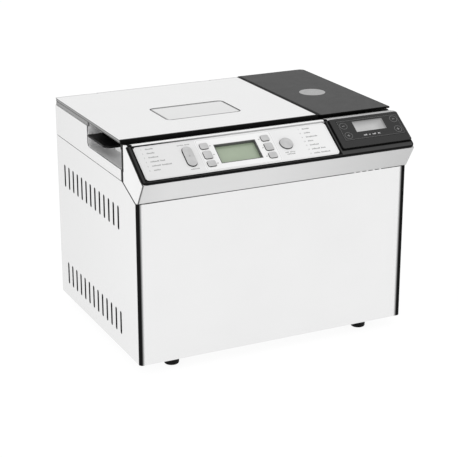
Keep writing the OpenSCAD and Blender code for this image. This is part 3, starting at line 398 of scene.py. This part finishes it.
def key_lacquer():
    """Silver caps, a little darker to one side, with painted shade on their side walls."""
    look = plastic("key_lacquer", grey(0.5), 0.34, grain=0.0003, bump=0.000006, tone=0.03)
    axes = look.axes(look.on_face())
    base = look.shader.inputs["Base Color"].links[0].from_socket
    slow = look.ramp(look.noise(0.012, detail=1.0), 0.35, 0.65)
    base = look.blend(look.maths("MULTIPLY", slow, 0.35), base, grey(0.66))
    # Painted shade: the caps' side walls go near-black.
    painted_wall_shade = look.ramp(axes[2], 0.00115, 0.00055, smooth=True)
    look.colour(look.blend(painted_wall_shade, base, grey(0.035)))
    return look


def window_pane():
    """Tempered glass over a pale heat-reflecting film."""
    look = Look("window_pane", rough=0.08, specular=0.5, coat=1.0, coat_rough=0.02)
    cloud = look.ramp(look.noise(0.05, detail=2.0), 0.3, 0.7)
    axes = look.axes(look.place)
    fade = look.ramp(axes[1], -0.03, 0.05, 0.0, 1.0, smooth=True)
    base = look.blend(fade, grey(0.60), grey(0.66))
    base = look.blend(cloud, base, grey(0.63))
    low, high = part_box("lid_window")
    middle, half = (low + high) / 2, (high - low) / 2
    middle.y, half.y = middle.y - 0.0011, half.y - 0.0011
    frit = look.ramp(look.outside(axes, middle, half), -0.0024, -0.0018)
    look.colour(look.blend(frit, base, grey(0.01)))
    look.rough(look.ramp(cloud, 0.0, 1.0, 0.06, 0.12))
    look.bump(look.noise(0.012, detail=1.0), 0.00001)
    return look


def platform_satin():
    """Fine-grained dark grey top with black edges."""
    look = plastic("platform_satin", grey(0.070), 0.42, grain=0.0005, bump=0.000012, tone=0.04, ior=1.1)
    low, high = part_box("scale_platform")
    axes = look.axes(look.place)
    middle, half = (low + high) / 2, (high - low) / 2
    rim = look.ramp(look.outside(axes, middle, (half.x - 0.0018, half.y - 0.0018)), -0.0004, 0.0004)
    rim = look.maths("MAXIMUM", rim, look.ramp(axes[0], low.x + 0.0034, low.x + 0.0026))
    side = look.ramp(axes[2], high.z - 0.0003, high.z - 0.0008)
    base = look.shader.inputs["Base Color"].links[0].from_socket
    look.colour(look.blend(look.maths("MAXIMUM", rim, side), base, grey(0.003)))
    return look


def chamber_steel():
    """Bright inside the chamber, dark grey on its outer wall where it faces the casing."""
    look = sheet_metal("chamber_steel", grey(0.66), 0.3, WALL, 0.000006, 0.05, 0.08)
    low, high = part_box("oven_chamber")
    middle = (low + high) / 2
    axes = look.axes(look.place)
    outer = look.ramp(look.outside(axes, middle, (0.1066, 0.0916)), -0.0001, 0.0002)
    below = look.ramp(axes[2], high.z - 0.0012, high.z - 0.0020)
    steel = look.shader.inputs["Base Color"].links[0].from_socket
    look.colour(look.blend(look.maths("MULTIPLY", outer, below), steel, grey(0.09)))
    return look


def recess_plastic():
    """Grey lining with painted light deep in the recess and up under the tab, where the tab's shadow falls, less
    of it towards the front end, and painted shade on the rail along the lid.
    """
    look = plastic("liner_grey", grey(0.62), 0.55, grain=0.0006, bump=0.00002, tone=0.04, specular=0.2)
    axes = look.axes(look.place)
    rail_shade = look.maths("MULTIPLY", look.ramp(axes[0], -0.1955, -0.1965), look.ramp(axes[2], 0.2975, 0.2985))
    base = look.shader.inputs["Base Color"].links[0].from_socket
    # Painted light: paler deep in the recess and up under the tab, where the tab's shadow falls; the front end,
    # out of that shadow, keeps the plain grey.
    base = look.blend(look.ramp(axes[0], -0.192, -0.176), base, grey(0.95))
    base = look.blend(look.ramp(axes[2], 0.271, 0.286), base, grey(0.9))
    base = look.blend(look.ramp(axes[1], -0.045, -0.062), base, grey(0.62))
    # Painted shade: the rail along the lid is darker grey.
    look.colour(look.blend(rail_shade, base, grey(0.25)))
    return look


def rubber(name, level=0.004):
    return plastic(name, grey(level), 0.62, grain=0.0007, bump=0.00004, tone=0.12, specular=0.12,
                   edge=(0.0007, grey(0.03), 0.3))


def circuit_board():
    look = Look("circuit_board", rough=0.35, coat=0.4, coat_rough=0.2)
    cells = look.add("TexVoronoi", {"feature": "DISTANCE_TO_EDGE"}, Vector=look.place, Scale=160.0)
    track = look.ramp(cells.outputs["Distance"], 0.03, 0.05)
    broad = look.ramp(look.noise(0.02), 0.3, 0.7)
    base = look.blend(broad, (0.012, 0.09, 0.035, 1), (0.02, 0.13, 0.05, 1))
    look.colour(look.blend(track, (0.05, 0.22, 0.09, 1), base))
    look.rough(look.ramp(track, 0.0, 1.0, 0.25, 0.45))
    look.bump(track, 0.00003)
    return look


def nonstick():
    look = Look("nonstick", specular=0.5)
    fleck = look.noise(0.0008, detail=4.0, rough=0.7)
    dots = look.ramp(look.noise(0.0012, detail=1.0), 0.66, 0.7)
    base = look.blend(look.ramp(fleck, 0.3, 0.7), grey(0.022, 0.04), grey(0.045, 0.04))
    base = look.blend(look.maths("MULTIPLY", dots, 0.5), base, grey(0.14))
    worn = look.edge(0.0012)
    look.colour(look.blend(look.maths("MULTIPLY", worn, 0.35), base, grey(0.25)))
    look.rough(look.ramp(fleck, 0.3, 0.7, 0.34, 0.5))
    look.bump(fleck, 0.00004)
    return look


def heater():
    look = Look("heater_sheath", metallic=0.7)
    scale = look.noise(0.004, detail=5.0, rough=0.7)
    base = look.blend(look.ramp(scale, 0.3, 0.7), (0.05, 0.045, 0.045, 1), (0.16, 0.13, 0.11, 1))
    look.colour(base)
    look.rough(look.ramp(scale, 0.3, 0.7, 0.35, 0.65))
    look.bump(scale, 0.00008)
    return look


def glass_fibre_ceramic(name, colour):
    look = Look(name, specular=0.5)
    return finish_surface(look, colour, 0.05, 0.01, 0.45, 0.08, 0.0009, 0.00004)


def winding():
    """The motor: a laminated core between two pressed end bells."""
    look = Look("motor_metal", metallic=0.9)
    axes = look.axes(look.place)
    stack = look.maths("SINE", look.maths("MULTIPLY", axes[2], 2 * math.pi / 0.0011))
    low, high = (corner.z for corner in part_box("motor"))
    core = look.maths("MULTIPLY", look.ramp(axes[2], low + 0.018, low + 0.0185),
                      look.ramp(axes[2], high - 0.0135, high - 0.014))
    stain = look.ramp(look.noise(0.015, detail=5.0), 0.35, 0.7)
    bell = look.blend(stain, grey(0.5), grey(0.38, 0.02))
    iron = look.blend(look.ramp(stack, -0.6, 0.6), grey(0.08), grey(0.22, 0.02))
    look.colour(look.blend(core, bell, iron))
    look.rough(look.ramp(stain, 0.0, 1.0, 0.3, 0.5))
    look.bump(look.maths("MULTIPLY", stack, core), 0.0001)
    return look


def middle_of(name):
    low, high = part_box(name)
    return (low + high) / 2


looks = {
    "steel_wall": casing_steel(),
    "steel_lid": lid_steel(),
    "steel_frame": frame_steel(),
    "galvanised": sheet_metal("galvanised", grey(0.5), 0.36, (3, 3, 3), 0.00001, 0.05, 0.09),
    "silver": fascia_lacquer(),
    "bezel": bezel_paint(),
    "panel": panel_print(),
    "keys": key_lacquer(),
    "lcd_main": lcd("lcd_main", (0.36, 0.43, 0.315, 1), (0.16, 0.2, 0.14, 1)),
    "lcd_scale": lcd("lcd_scale", grey(0.50), grey(0.30), shade=((0.150, 0.174), (0.040, 0.053))),
    # Dark grey for the painted shade along two edges of the scale display's window.
    "lcd_edge_shade": plastic("lcd_edge_shade", grey(0.24), 0.35, grain=0.0004, bump=0.000004, tone=0.05),
    "surround": plastic("surround_grey", grey(0.10), 0.4, tone=0.08),
    "board": circuit_board(),
    "gloss": plastic("gloss_black", grey(0.012), 0.2, grain=0.004, bump=0.000004, tone=0.1, specular=0.35),
    "platform": platform_satin(),
    "disc": turned_metal("disc_steel", grey(0.37), 0.3, middle_of("platform_disc")),
    "black": plastic("moulded_black", grey(0.004), 0.5, grain=0.0005, bump=0.00003, tone=0.1,
                     specular=0.12, edge=(0.0006, grey(0.02), 0.35)),
    "liner": recess_plastic(),
    "rubber": rubber("rubber_black"),
    "gasket": rubber("gasket_black", 0.02),
    "window": window_pane(),
    "aluminium": sheet_metal("cast_aluminium", grey(0.66), 0.34, (4, 4, 4), 0.00002, 0.05, 0.08),
    "bright": turned_metal("bright_steel", grey(0.7), 0.22, middle_of("oven_chamber")),
    "chamber": chamber_steel(),
    "nonstick": nonstick(),
    "heater": heater(),
    "ceramic": glass_fibre_ceramic("ceramic", (0.72, 0.68, 0.6, 1)),
    "cream": plastic("pulley_cream", (0.66, 0.6, 0.46, 1), 0.42, tone=0.06, edge=(0.0006, grey(0.8), 0.3)),
    "motor": winding(),
    "print": plastic("print_grey", grey(0.30), 0.5, grain=0.0003, bump=0.000004, tone=0.1),
    "print_dim": plastic("print_dim", grey(0.17), 0.4, grain=0.0003, bump=0.000004, tone=0.05),
    "print_mid": plastic("print_mid", grey(0.30), 0.4, grain=0.0003, bump=0.000004, tone=0.05),
    "print_light": plastic("print_light", grey(0.62), 0.4, grain=0.0003, bump=0.000004, tone=0.05),
}

NODE_LOOKS = {
    "steel_wall": ["casing_wrap"],
    "steel_lid": ["lid_cover"],
    "steel_frame": ["top_frame"],
    "galvanised": ["back_panel", "base_plate", "chassis"],
    "silver": ["fascia_body"],
    "bezel": ["bezel"],
    "panel": ["control_panel"],
    "keys": ["key_left_top", "key_left_middle", "key_left_bottom", "key_right_top", "key_right_middle",
             "key_right_bottom", "start_key", "menu_rocker"],
    "surround": ["display_surround"],
    "lcd_main": ["display_lens", "display_module"],
    "lcd_scale": ["scale_display"],
    "board": ["control_board", "scale_board", "power_board"],
    "gloss": ["scale_head", "scale_glass"],
    "platform": ["scale_platform"],
    "disc": ["platform_disc"],
    "black": ["handle_tab", "scale_tray", "lid_liner", "cord_gland"],
    "liner": ["recess_liner"],
    "rubber": ["foot_front_left", "foot_front_right", "foot_back_left", "foot_back_right", "drive_belt"],
    "gasket": ["window_gasket"],
    "window": ["lid_window"],
    "aluminium": ["lid_heat_plate", "load_cell", "pan_bearing", "platform_post"],
    "bright": ["foot_screws", "hinge_brackets", "hinge_pin", "pan_handle", "pan_shaft", "drive_shaft",
               "drive_bearing", "temperature_sensor", "motor_pulley"],
    "chamber": ["oven_chamber"],
    "nonstick": ["bread_pan", "kneading_blade"],
    "heater": ["heating_element"],
    "ceramic": ["element_bushes"],
    "cream": ["drive_pulley"],
    "motor": ["motor"],
}
for look, names in NODE_LOOKS.items():
    for name in names:
        for slot in nodes[name].material_slots:
            slot.material = looks[look].material


# ---------------------------------------------------------------- softened edges on the carried-over nodes

def soft_shading():
    """A modifier group that marks every face smooth, so that weighted normals can act on it."""
    group = bpy.data.node_groups.new("soft_shading", "GeometryNodeTree")
    group.interface.new_socket("Geometry", in_out="INPUT", socket_type="NodeSocketGeometry")
    group.interface.new_socket("Geometry", in_out="OUTPUT", socket_type="NodeSocketGeometry")
    start = group.nodes.new("NodeGroupInput")
    smooth = group.nodes.new("GeometryNodeSetShadeSmooth")
    end = group.nodes.new("NodeGroupOutput")
    group.links.new(start.outputs[0], smooth.inputs[0])
    group.links.new(smooth.outputs[0], end.inputs[0])
    return group


SMOOTH = soft_shading()


def soften(obj, width, segments=3, angle=30, weld=True):
    """Welds, dissolves flat facets, rounds the sharp edges and evens the normals."""
    if weld:
        merge = obj.modifiers.new("weld", "WELD")
        merge.merge_threshold = 1e-6
        flat = obj.modifiers.new("flat", "DECIMATE")
        flat.decimate_type = "DISSOLVE"
        flat.angle_limit = math.radians(1.0)
    smooth = obj.modifiers.new("smooth", "NODES")
    smooth.node_group = SMOOTH
    bevel = obj.modifiers.new("bevel", "BEVEL")
    bevel.width = width
    bevel.segments = segments
    bevel.limit_method = "ANGLE"
    bevel.angle_limit = math.radians(angle)
    bevel.use_clamp_overlap = True
    even = obj.modifiers.new("even", "WEIGHTED_NORMAL")
    even.weight = 100
    even.keep_sharp = True


SOFT = {
    0.35: ["casing_wrap", "lid_cover", "top_frame", "platform_disc", "display_surround", "recess_liner",
           "lid_window", "window_gasket", "lid_heat_plate", "oven_chamber", "back_panel"],
    0.6: ["bezel", "fascia_body", "scale_platform", "scale_tray", "lid_liner", "hinge_brackets", "pan_bearing",
          "drive_shaft"],
    0.8: ["key_left_top", "key_left_middle", "key_left_bottom", "key_right_top", "key_right_middle",
          "key_right_bottom", "start_key", "handle_tab", "scale_head", "foot_front_left", "foot_front_right",
          "foot_back_left", "foot_back_right", "pan_shaft"],
    1.2: ["menu_rocker", "kneading_blade", "bread_pan", "cord_gland"],
    0.25: ["control_panel", "chassis", "base_plate", "load_cell", "motor"],
}
for width, names in SOFT.items():
    for name in names:
        soften(nodes[name], width * MM)


# ---------------------------------------------------------------- new pieces

def piece(name, bm, looks_used, body="casing", replaces=(), smooth_angle=35):
    mesh = bpy.data.meshes.new(name)
    bmesh.ops.recalc_face_normals(bm, faces=bm.faces)
    bm.to_mesh(mesh)
    bm.free()
    obj = bpy.data.objects.new(name, mesh)
    scene.collection.objects.link(obj)
    for look in looks_used:
        mesh.materials.append(looks[look].material)
    mesh.shade_smooth()
    mesh.set_sharp_from_angle(angle=math.radians(smooth_angle))
    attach(obj, body)
    if replaces:
        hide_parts(*replaces)
    return obj


def slab(bm, outline, low, high, frame_matrix=FACE, material=0):
    """A closed plate from a flat outline in millimetres, between two heights in its own axes."""
    below = [bm.verts.new(frame_matrix @ Vector((x * MM, y * MM, low * MM))) for x, y in outline]
    above = [bm.verts.new(frame_matrix @ Vector((x * MM, y * MM, high * MM))) for x, y in outline]
    made = [bm.faces.new(above), bm.faces.new(below[::-1])]
    for i in range(len(outline)):
        j = (i + 1) % len(outline)
        made.append(bm.faces.new([below[i], below[j], above[j], above[i]]))
    for f in made:
        f.material_index = material
    return made


def rounded(x0, y0, x1, y1, r, steps=5):
    points = []
    for cx, cy, start in ((x1 - r, y0 + r, -90), (x1 - r, y1 - r, 0), (x0 + r, y1 - r, 90), (x0 + r, y0 + r, 180)):
        for i in range(steps + 1):
            a = math.radians(start + 90 * i / steps)
            points.append((cx + r * math.cos(a), cy + r * math.sin(a)))
    return points


def ring(bm, u, v, outer, inner, low, high, matrix=FACE, steps=40, material=0):
    """A flat ring, or a disc if the inner radius is 0."""
    if inner <= 0:
        outline = [(u + outer * math.cos(2 * math.pi * i / steps), v + outer * math.sin(2 * math.pi * i / steps))
                   for i in range(steps)]
        return slab(bm, outline, low, high, matrix, material)
    loops = []
    for r, z in ((inner, low), (outer, low), (outer, high), (inner, high)):
        loops.append([bm.verts.new(matrix @ Vector(((u + r * math.cos(2 * math.pi * i / steps)) * MM,
                                                    (v + r * math.sin(2 * math.pi * i / steps)) * MM, z * MM)))
                      for i in range(steps)])
    for a in range(4):
        for i in range(steps):
            j = (i + 1) % steps
            f = bm.faces.new([loops[a][i], loops[a][j], loops[(a + 1) % 4][j], loops[(a + 1) % 4][i]])
            f.material_index = material
    return None


def frame_line(bm, box, width, radius, low, high):
    """A rounded rectangular outline of a given line width."""
    x0, y0, x1, y1 = box
    outer = rounded(x0, y0, x1, y1, radius)
    inner = rounded(x0 + width, y0 + width, x1 - width, y1 - width, max(0.2, radius - width))
    loops = [[bm.verts.new(FACE @ Vector((x * MM, y * MM, z * MM))) for x, y in line]
             for line, z in ((inner, low), (outer, low), (outer, high), (inner, high))]
    count = len(outer)
    for a in range(4):
        for i in range(count):
            j = (i + 1) % count
            bm.faces.new([loops[a][i], loops[a][j], loops[(a + 1) % 4][j], loops[(a + 1) % 4][i]])


def numeral(bm, text, u, v, size, low, high):
    """A printed number as a thin plate, its left lower corner at (u, v)."""
    curve = bpy.data.curves.new("numeral", "FONT")
    curve.body = text
    curve.size = size
    curve.extrude = (high - low) / 2
    curve.resolution_u = 3
    holder = bpy.data.objects.new("numeral", curve)
    scene.collection.objects.link(holder)
    bpy.context.view_layer.update()
    mesh = bpy.data.meshes.new_from_object(holder.evaluated_get(bpy.context.evaluated_depsgraph_get()))
    mesh.transform(FACE @ Matrix.Scale(MM, 4) @ Matrix.Translation((u, v, (low + high) / 2)))
    bm.from_mesh(mesh)
    bpy.data.objects.remove(holder)
    bpy.data.curves.remove(curve)
    bpy.data.meshes.remove(mesh)


# Heights out of the control face, in millimetres: the print's thickness, the panel and its middle zone
PRINT_T = 0.06
PANEL_W = -0.6
ZONE_W = -0.1

# Blocks that stand for letters: their pitch, their width and their heights in turn
LETTER = 1.35
LETTER_W = 0.9
TALLNESS = (1.0, 0.72, 0.72, 0.9, 0.72)


def words(bm, u, v, lengths, height, low, gap=2.0):
    """Rows of small blocks that stand for words of fine print, starting at (u, v)."""
    for length in lengths:
        count = max(1, round(length / LETTER))
        for i in range(count):
            tall = height * TALLNESS[(2 * i + count) % len(TALLNESS)]
            x, y = u + i * LETTER, v - height / 2
            slab(bm, [(x, y), (x + LETTER_W, y), (x + LETTER_W, y + tall), (x, y + tall)], low, low + PRINT_T)
        u += count * LETTER + gap - (LETTER - LETTER_W)


def menu_list(name, first, u, tops, rows):
    bm = bmesh.new()
    start, end = tops
    for i, lengths in enumerate(rows):
        v = start + (end - start) * i / (len(rows) - 1)
        numeral(bm, str(first + i), u, v - 1.1, 3.0, PANEL_W, PANEL_W + PRINT_T)
        words(bm, u + 6.4, v, lengths, 2.1, PANEL_W)
    piece(name, bm, ["print"])


menu_list("menu_print_left", 1, -183, (55.6, 20.8), [[11], [11], [14], [12, 7], [12, 14], [10]])
menu_list("menu_print_right", 7, 43, (54.9, 12.7), [[11], [10], [17], [8], [13], [12, 7], [10, 13]])

bm = bmesh.new()
words(bm, -133, 54.6, [9, 7], 1.7, PANEL_W)
words(bm, -128, 14.0, [12], 1.7, PANEL_W)
words(bm, 9.5, 19.8, [6, 7.5], 1.7, PANEL_W)
words(bm, 11.2, 16.6, [12], 1.7, PANEL_W)
for v in (47.3, 32.5, 18):
    words(bm, -90.2, v, [2.6], 1.8, ZONE_W)
    words(bm, -19.6, v, [2.6], 1.8, ZONE_W)
piece("panel_captions", bm, ["print"])

bm = bmesh.new()
frame_line(bm, (-106.6, 7.9, 0.6, 58.6), 0.5, 3.4, ZONE_W, ZONE_W + PRINT_T)
frame_line(bm, (-190.4, 7.0, 84.4, 59.5), 0.35, 3.8, PANEL_W, PANEL_W + PRINT_T * 0.6)
piece("panel_outline", bm, ["print_light"])

bm = bmesh.new()
ring(bm, -122.8, 34.2, 0.9, 0, 1.4, 1.4 + PRINT_T)
piece("rocker_marks", bm, ["print"], "menu_button")

# The scale's cover glass: one pane, clear over its display and black-printed elsewhere
bm = bmesh.new()
GLASS = (101.15, 22.65, 195.85, 57.35)
WINDOW = (124.4, 35.2, 171.2, 53.4)
READOUT = (124.4, 35.2, 168.4, 51.2)
glass_low, glass_high = 1.75, 2.5


def corners(box):
    return [(box[0], box[1]), (box[2], box[1]), (box[2], box[3]), (box[0], box[3])]


loops = [[bm.verts.new(face(x, y, glass_high)) for x, y in corners(box)] for box in (GLASS, WINDOW)]
low_outer = [bm.verts.new(face(x, y, glass_low)) for x, y in corners(GLASS)]
sill = [bm.verts.new(face(x, y, glass_high)) for x, y in corners(READOUT)]
sill[0] = loops[1][0]
bm.faces.new(sill).material_index = 1
# Painted shade: the window's margins to the right of and above the readout are dark grey, for the shade of the
# window's walls.
bm.faces.new([loops[1][0], loops[1][1], sill[1]]).material_index = 2
bm.faces.new([sill[1], loops[1][1], loops[1][2], sill[2]]).material_index = 2
bm.faces.new([sill[3], sill[2], loops[1][2], loops[1][3]]).material_index = 2
bm.faces.new([loops[1][0], sill[3], loops[1][3]]).material_index = 2
bm.faces.new(low_outer[::-1])
for i in range(4):
    j = (i + 1) % 4
    bm.faces.new([loops[0][i], loops[0][j], loops[1][j], loops[1][i]])
    bm.faces.new([low_outer[i], low_outer[j], loops[0][j], loops[0][i]])
piece("scale_cover_glass", bm, ["gloss", "lcd_scale", "lcd_edge_shade"], replaces=["scale_glass"])

SCALE_KEYS = ((109, 47.9), (109.6, 31), (188.2, 49.2), (187.3, 31.2))
bm = bmesh.new()
for u, v in SCALE_KEYS:
    ring(bm, u, v, 5.6, 5.1, glass_high, glass_high + PRINT_T)
frame_line(bm, (101.9, 23.4, 195.1, 56.6), 0.3, 0.8, glass_high, glass_high + PRINT_T * 0.6)
piece("scale_key_rings", bm, ["print_dim"])

bm = bmesh.new()
for i, (u, v) in enumerate(SCALE_KEYS):
    slab(bm, rounded(u - 2, v - 0.35, u + 2, v + 0.35, 0.3, 2), glass_high, glass_high + PRINT_T)
    if i % 2:
        slab(bm, rounded(u - 0.35, v - 2, u + 0.35, v + 2, 0.3, 2), glass_high, glass_high + PRINT_T)
piece("scale_key_marks", bm, ["print_mid"])

bm = bmesh.new()
for u, length in ((132, 5), (140, 2.5), (145.5, 6), (154, 3.5)):
    words(bm, u, 28.6, [length], 2.2, glass_high)
piece("scale_captions", bm, ["print_light"])

# The main display's pane, standing just clear of the display behind it
bm = bmesh.new()
slab(bm, rounded(-85.5, 15, -22.5, 49.4, 1.0), -6.1, -5.05)
piece("display_pane", bm, ["lcd_main"], replaces=["display_lens"])

# Pan-head screws in the back panel's holes
SCREW_INSET = 15 * MM
panel_low, panel_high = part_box("back_panel")


def screw(bm, centre, direction, head=3.6, height=2.2, shank=1.6, depth=5.0):
    """A domed cross-slot screw whose head rests on a surface, pointing out along a direction."""
    matrix = Matrix.Translation(centre) @ Vector(direction).to_track_quat("Z", "Y").to_matrix().to_4x4()
    profile = [(0.0, height)] + [(head * math.sin(math.radians(a)), height * math.cos(math.radians(a)) * 0.75
                                  + height * 0.25) for a in (20, 40, 60, 80, 90)] + [(head, 0.0), (shank, 0.0),
                                                                                    (shank, -depth), (0.0, -depth)]
    steps = 24
    rows = []
    for r, z in profile:
        if r == 0:
            rows.append([bm.verts.new(matrix @ Vector((0, 0, z * MM)))])
        else:
            rows.append([bm.verts.new(matrix @ Vector((r * MM * math.cos(2 * math.pi * i / steps),
                                                       r * MM * math.sin(2 * math.pi * i / steps), z * MM)))
                         for i in range(steps)])
    for a, b in zip(rows, rows[1:]):
        for i in range(steps):
            j = (i + 1) % steps
            corners = [a[i % len(a)], a[j % len(a)], b[j % len(b)], b[i % len(b)]]
            unique = list(dict.fromkeys(corners))
            if len(unique) > 2:
                bm.faces.new(unique)
    for turn in (0, 90):
        cross = matrix @ Matrix.Rotation(math.radians(turn), 4, "Z")
        slab(bm, [(-1.7, -0.28), (1.7, -0.28), (1.7, 0.28), (-1.7, 0.28)], height * 0.78, height * 1.02, cross, 1)


bm = bmesh.new()
for x in (panel_low.x + SCREW_INSET, panel_high.x - SCREW_INSET):
    for z in (panel_low.z + SCREW_INSET, panel_high.z - SCREW_INSET):
        screw(bm, Vector((x, panel_low.y + MM, z)), (0, 1, 0))
piece("back_screws", bm, ["bright", "black"])


# ---------------------------------------------------------------- floor, light and camera

def floor():
    bm = bmesh.new()
    bmesh.ops.create_circle(bm, cap_ends=True, segments=96, radius=8.0)
    mesh = bpy.data.meshes.new("floor")
    bm.to_mesh(mesh)
    bm.free()
    obj = bpy.data.objects.new("floor", mesh)
    obj.location.z = -0.0002
    scene.collection.objects.link(obj)
    look = Look("floor_white", rough=0.9, specular=0.0)
    mottle = look.ramp(look.noise(0.5), 0.3, 0.7)
    look.colour(look.blend(mottle, grey(0.10), grey(0.11)))
    look.shader.inputs["Emission Color"].default_value = (1, 1, 1, 1)
    look.shader.inputs["Emission Strength"].default_value = 0.92
    mesh.materials.append(look.material)


def studio():
    """An even white surround, a touch dimmer low down, and pure white where the camera sees it."""
    world = bpy.data.worlds.new("studio")
    scene.world = world
    world.use_nodes = True
    tree = world.node_tree
    tree.nodes.clear()

    def add(kind, **settings):
        node = tree.nodes.new("ShaderNode" + kind)
        for key, value in settings.items():
            setattr(node, key, value)
        return node

    way = add("TexCoord")
    split = add("SeparateXYZ")
    tree.links.new(way.outputs["Generated"], split.inputs[0])
    up = add("MapRange")
    for key, value in (("From Min", -0.3), ("From Max", 0.9), ("To Min", 0.9), ("To Max", 1.0)):
        up.inputs[key].default_value = value
    tree.links.new(split.outputs["Z"], up.inputs["Value"])
    light = add("Background")
    light.inputs["Color"].default_value = (1, 1, 1, 1)
    tree.links.new(up.outputs[0], light.inputs["Strength"])
    seen = add("Background")
    seen.inputs["Color"].default_value = (1, 1, 1, 1)
    seen.inputs["Strength"].default_value = 1.05
    path = add("LightPath")
    mix = add("MixShader")
    end = add("OutputWorld")
    tree.links.new(path.outputs["Is Camera Ray"], mix.inputs[0])
    tree.links.new(light.outputs[0], mix.inputs[1])
    tree.links.new(seen.outputs[0], mix.inputs[2])
    tree.links.new(mix.outputs[0], end.inputs["Surface"])


def softbox(name, place, target, size, power):
    data = bpy.data.lights.new(name, "AREA")
    data.shape = "RECTANGLE"
    data.size, data.size_y = size
    data.energy = power
    obj = bpy.data.objects.new(name, data)
    obj.location = place
    obj.rotation_mode = "QUATERNION"
    obj.rotation_quaternion = (Vector(target) - Vector(place)).to_track_quat("-Z", "Y")
    obj.visible_camera = False
    obj.visible_glossy = False
    scene.collection.objects.link(obj)


def camera():
    data = bpy.data.cameras.new("camera")
    data.sensor_width = 36
    data.lens = 112.4
    obj = bpy.data.objects.new("camera", data)
    obj.location = (-0.8421, -1.7276, 0.8101)
    yaw, pitch = math.radians(25.91), math.radians(19.46)
    ahead = Vector((math.sin(yaw) * math.cos(pitch), math.cos(yaw) * math.cos(pitch), -math.sin(pitch)))
    obj.rotation_mode = "QUATERNION"
    obj.rotation_quaternion = ahead.to_track_quat("-Z", "Y")
    data.clip_start, data.clip_end = 0.05, 50
    scene.collection.objects.link(obj)
    scene.camera = obj


floor()
studio()
softbox("key", (-1.2, -1.6, 2.2), (0, 0, 0.15), (1.6, 1.6), 5)
softbox("fill", (-1.6, -0.1, 0.30), (-0.2, -0.03, 0.28), (0.5, 0.5), 6)
camera()
scene.view_settings.view_transform = "Standard"
scene.view_settings.look = "None"
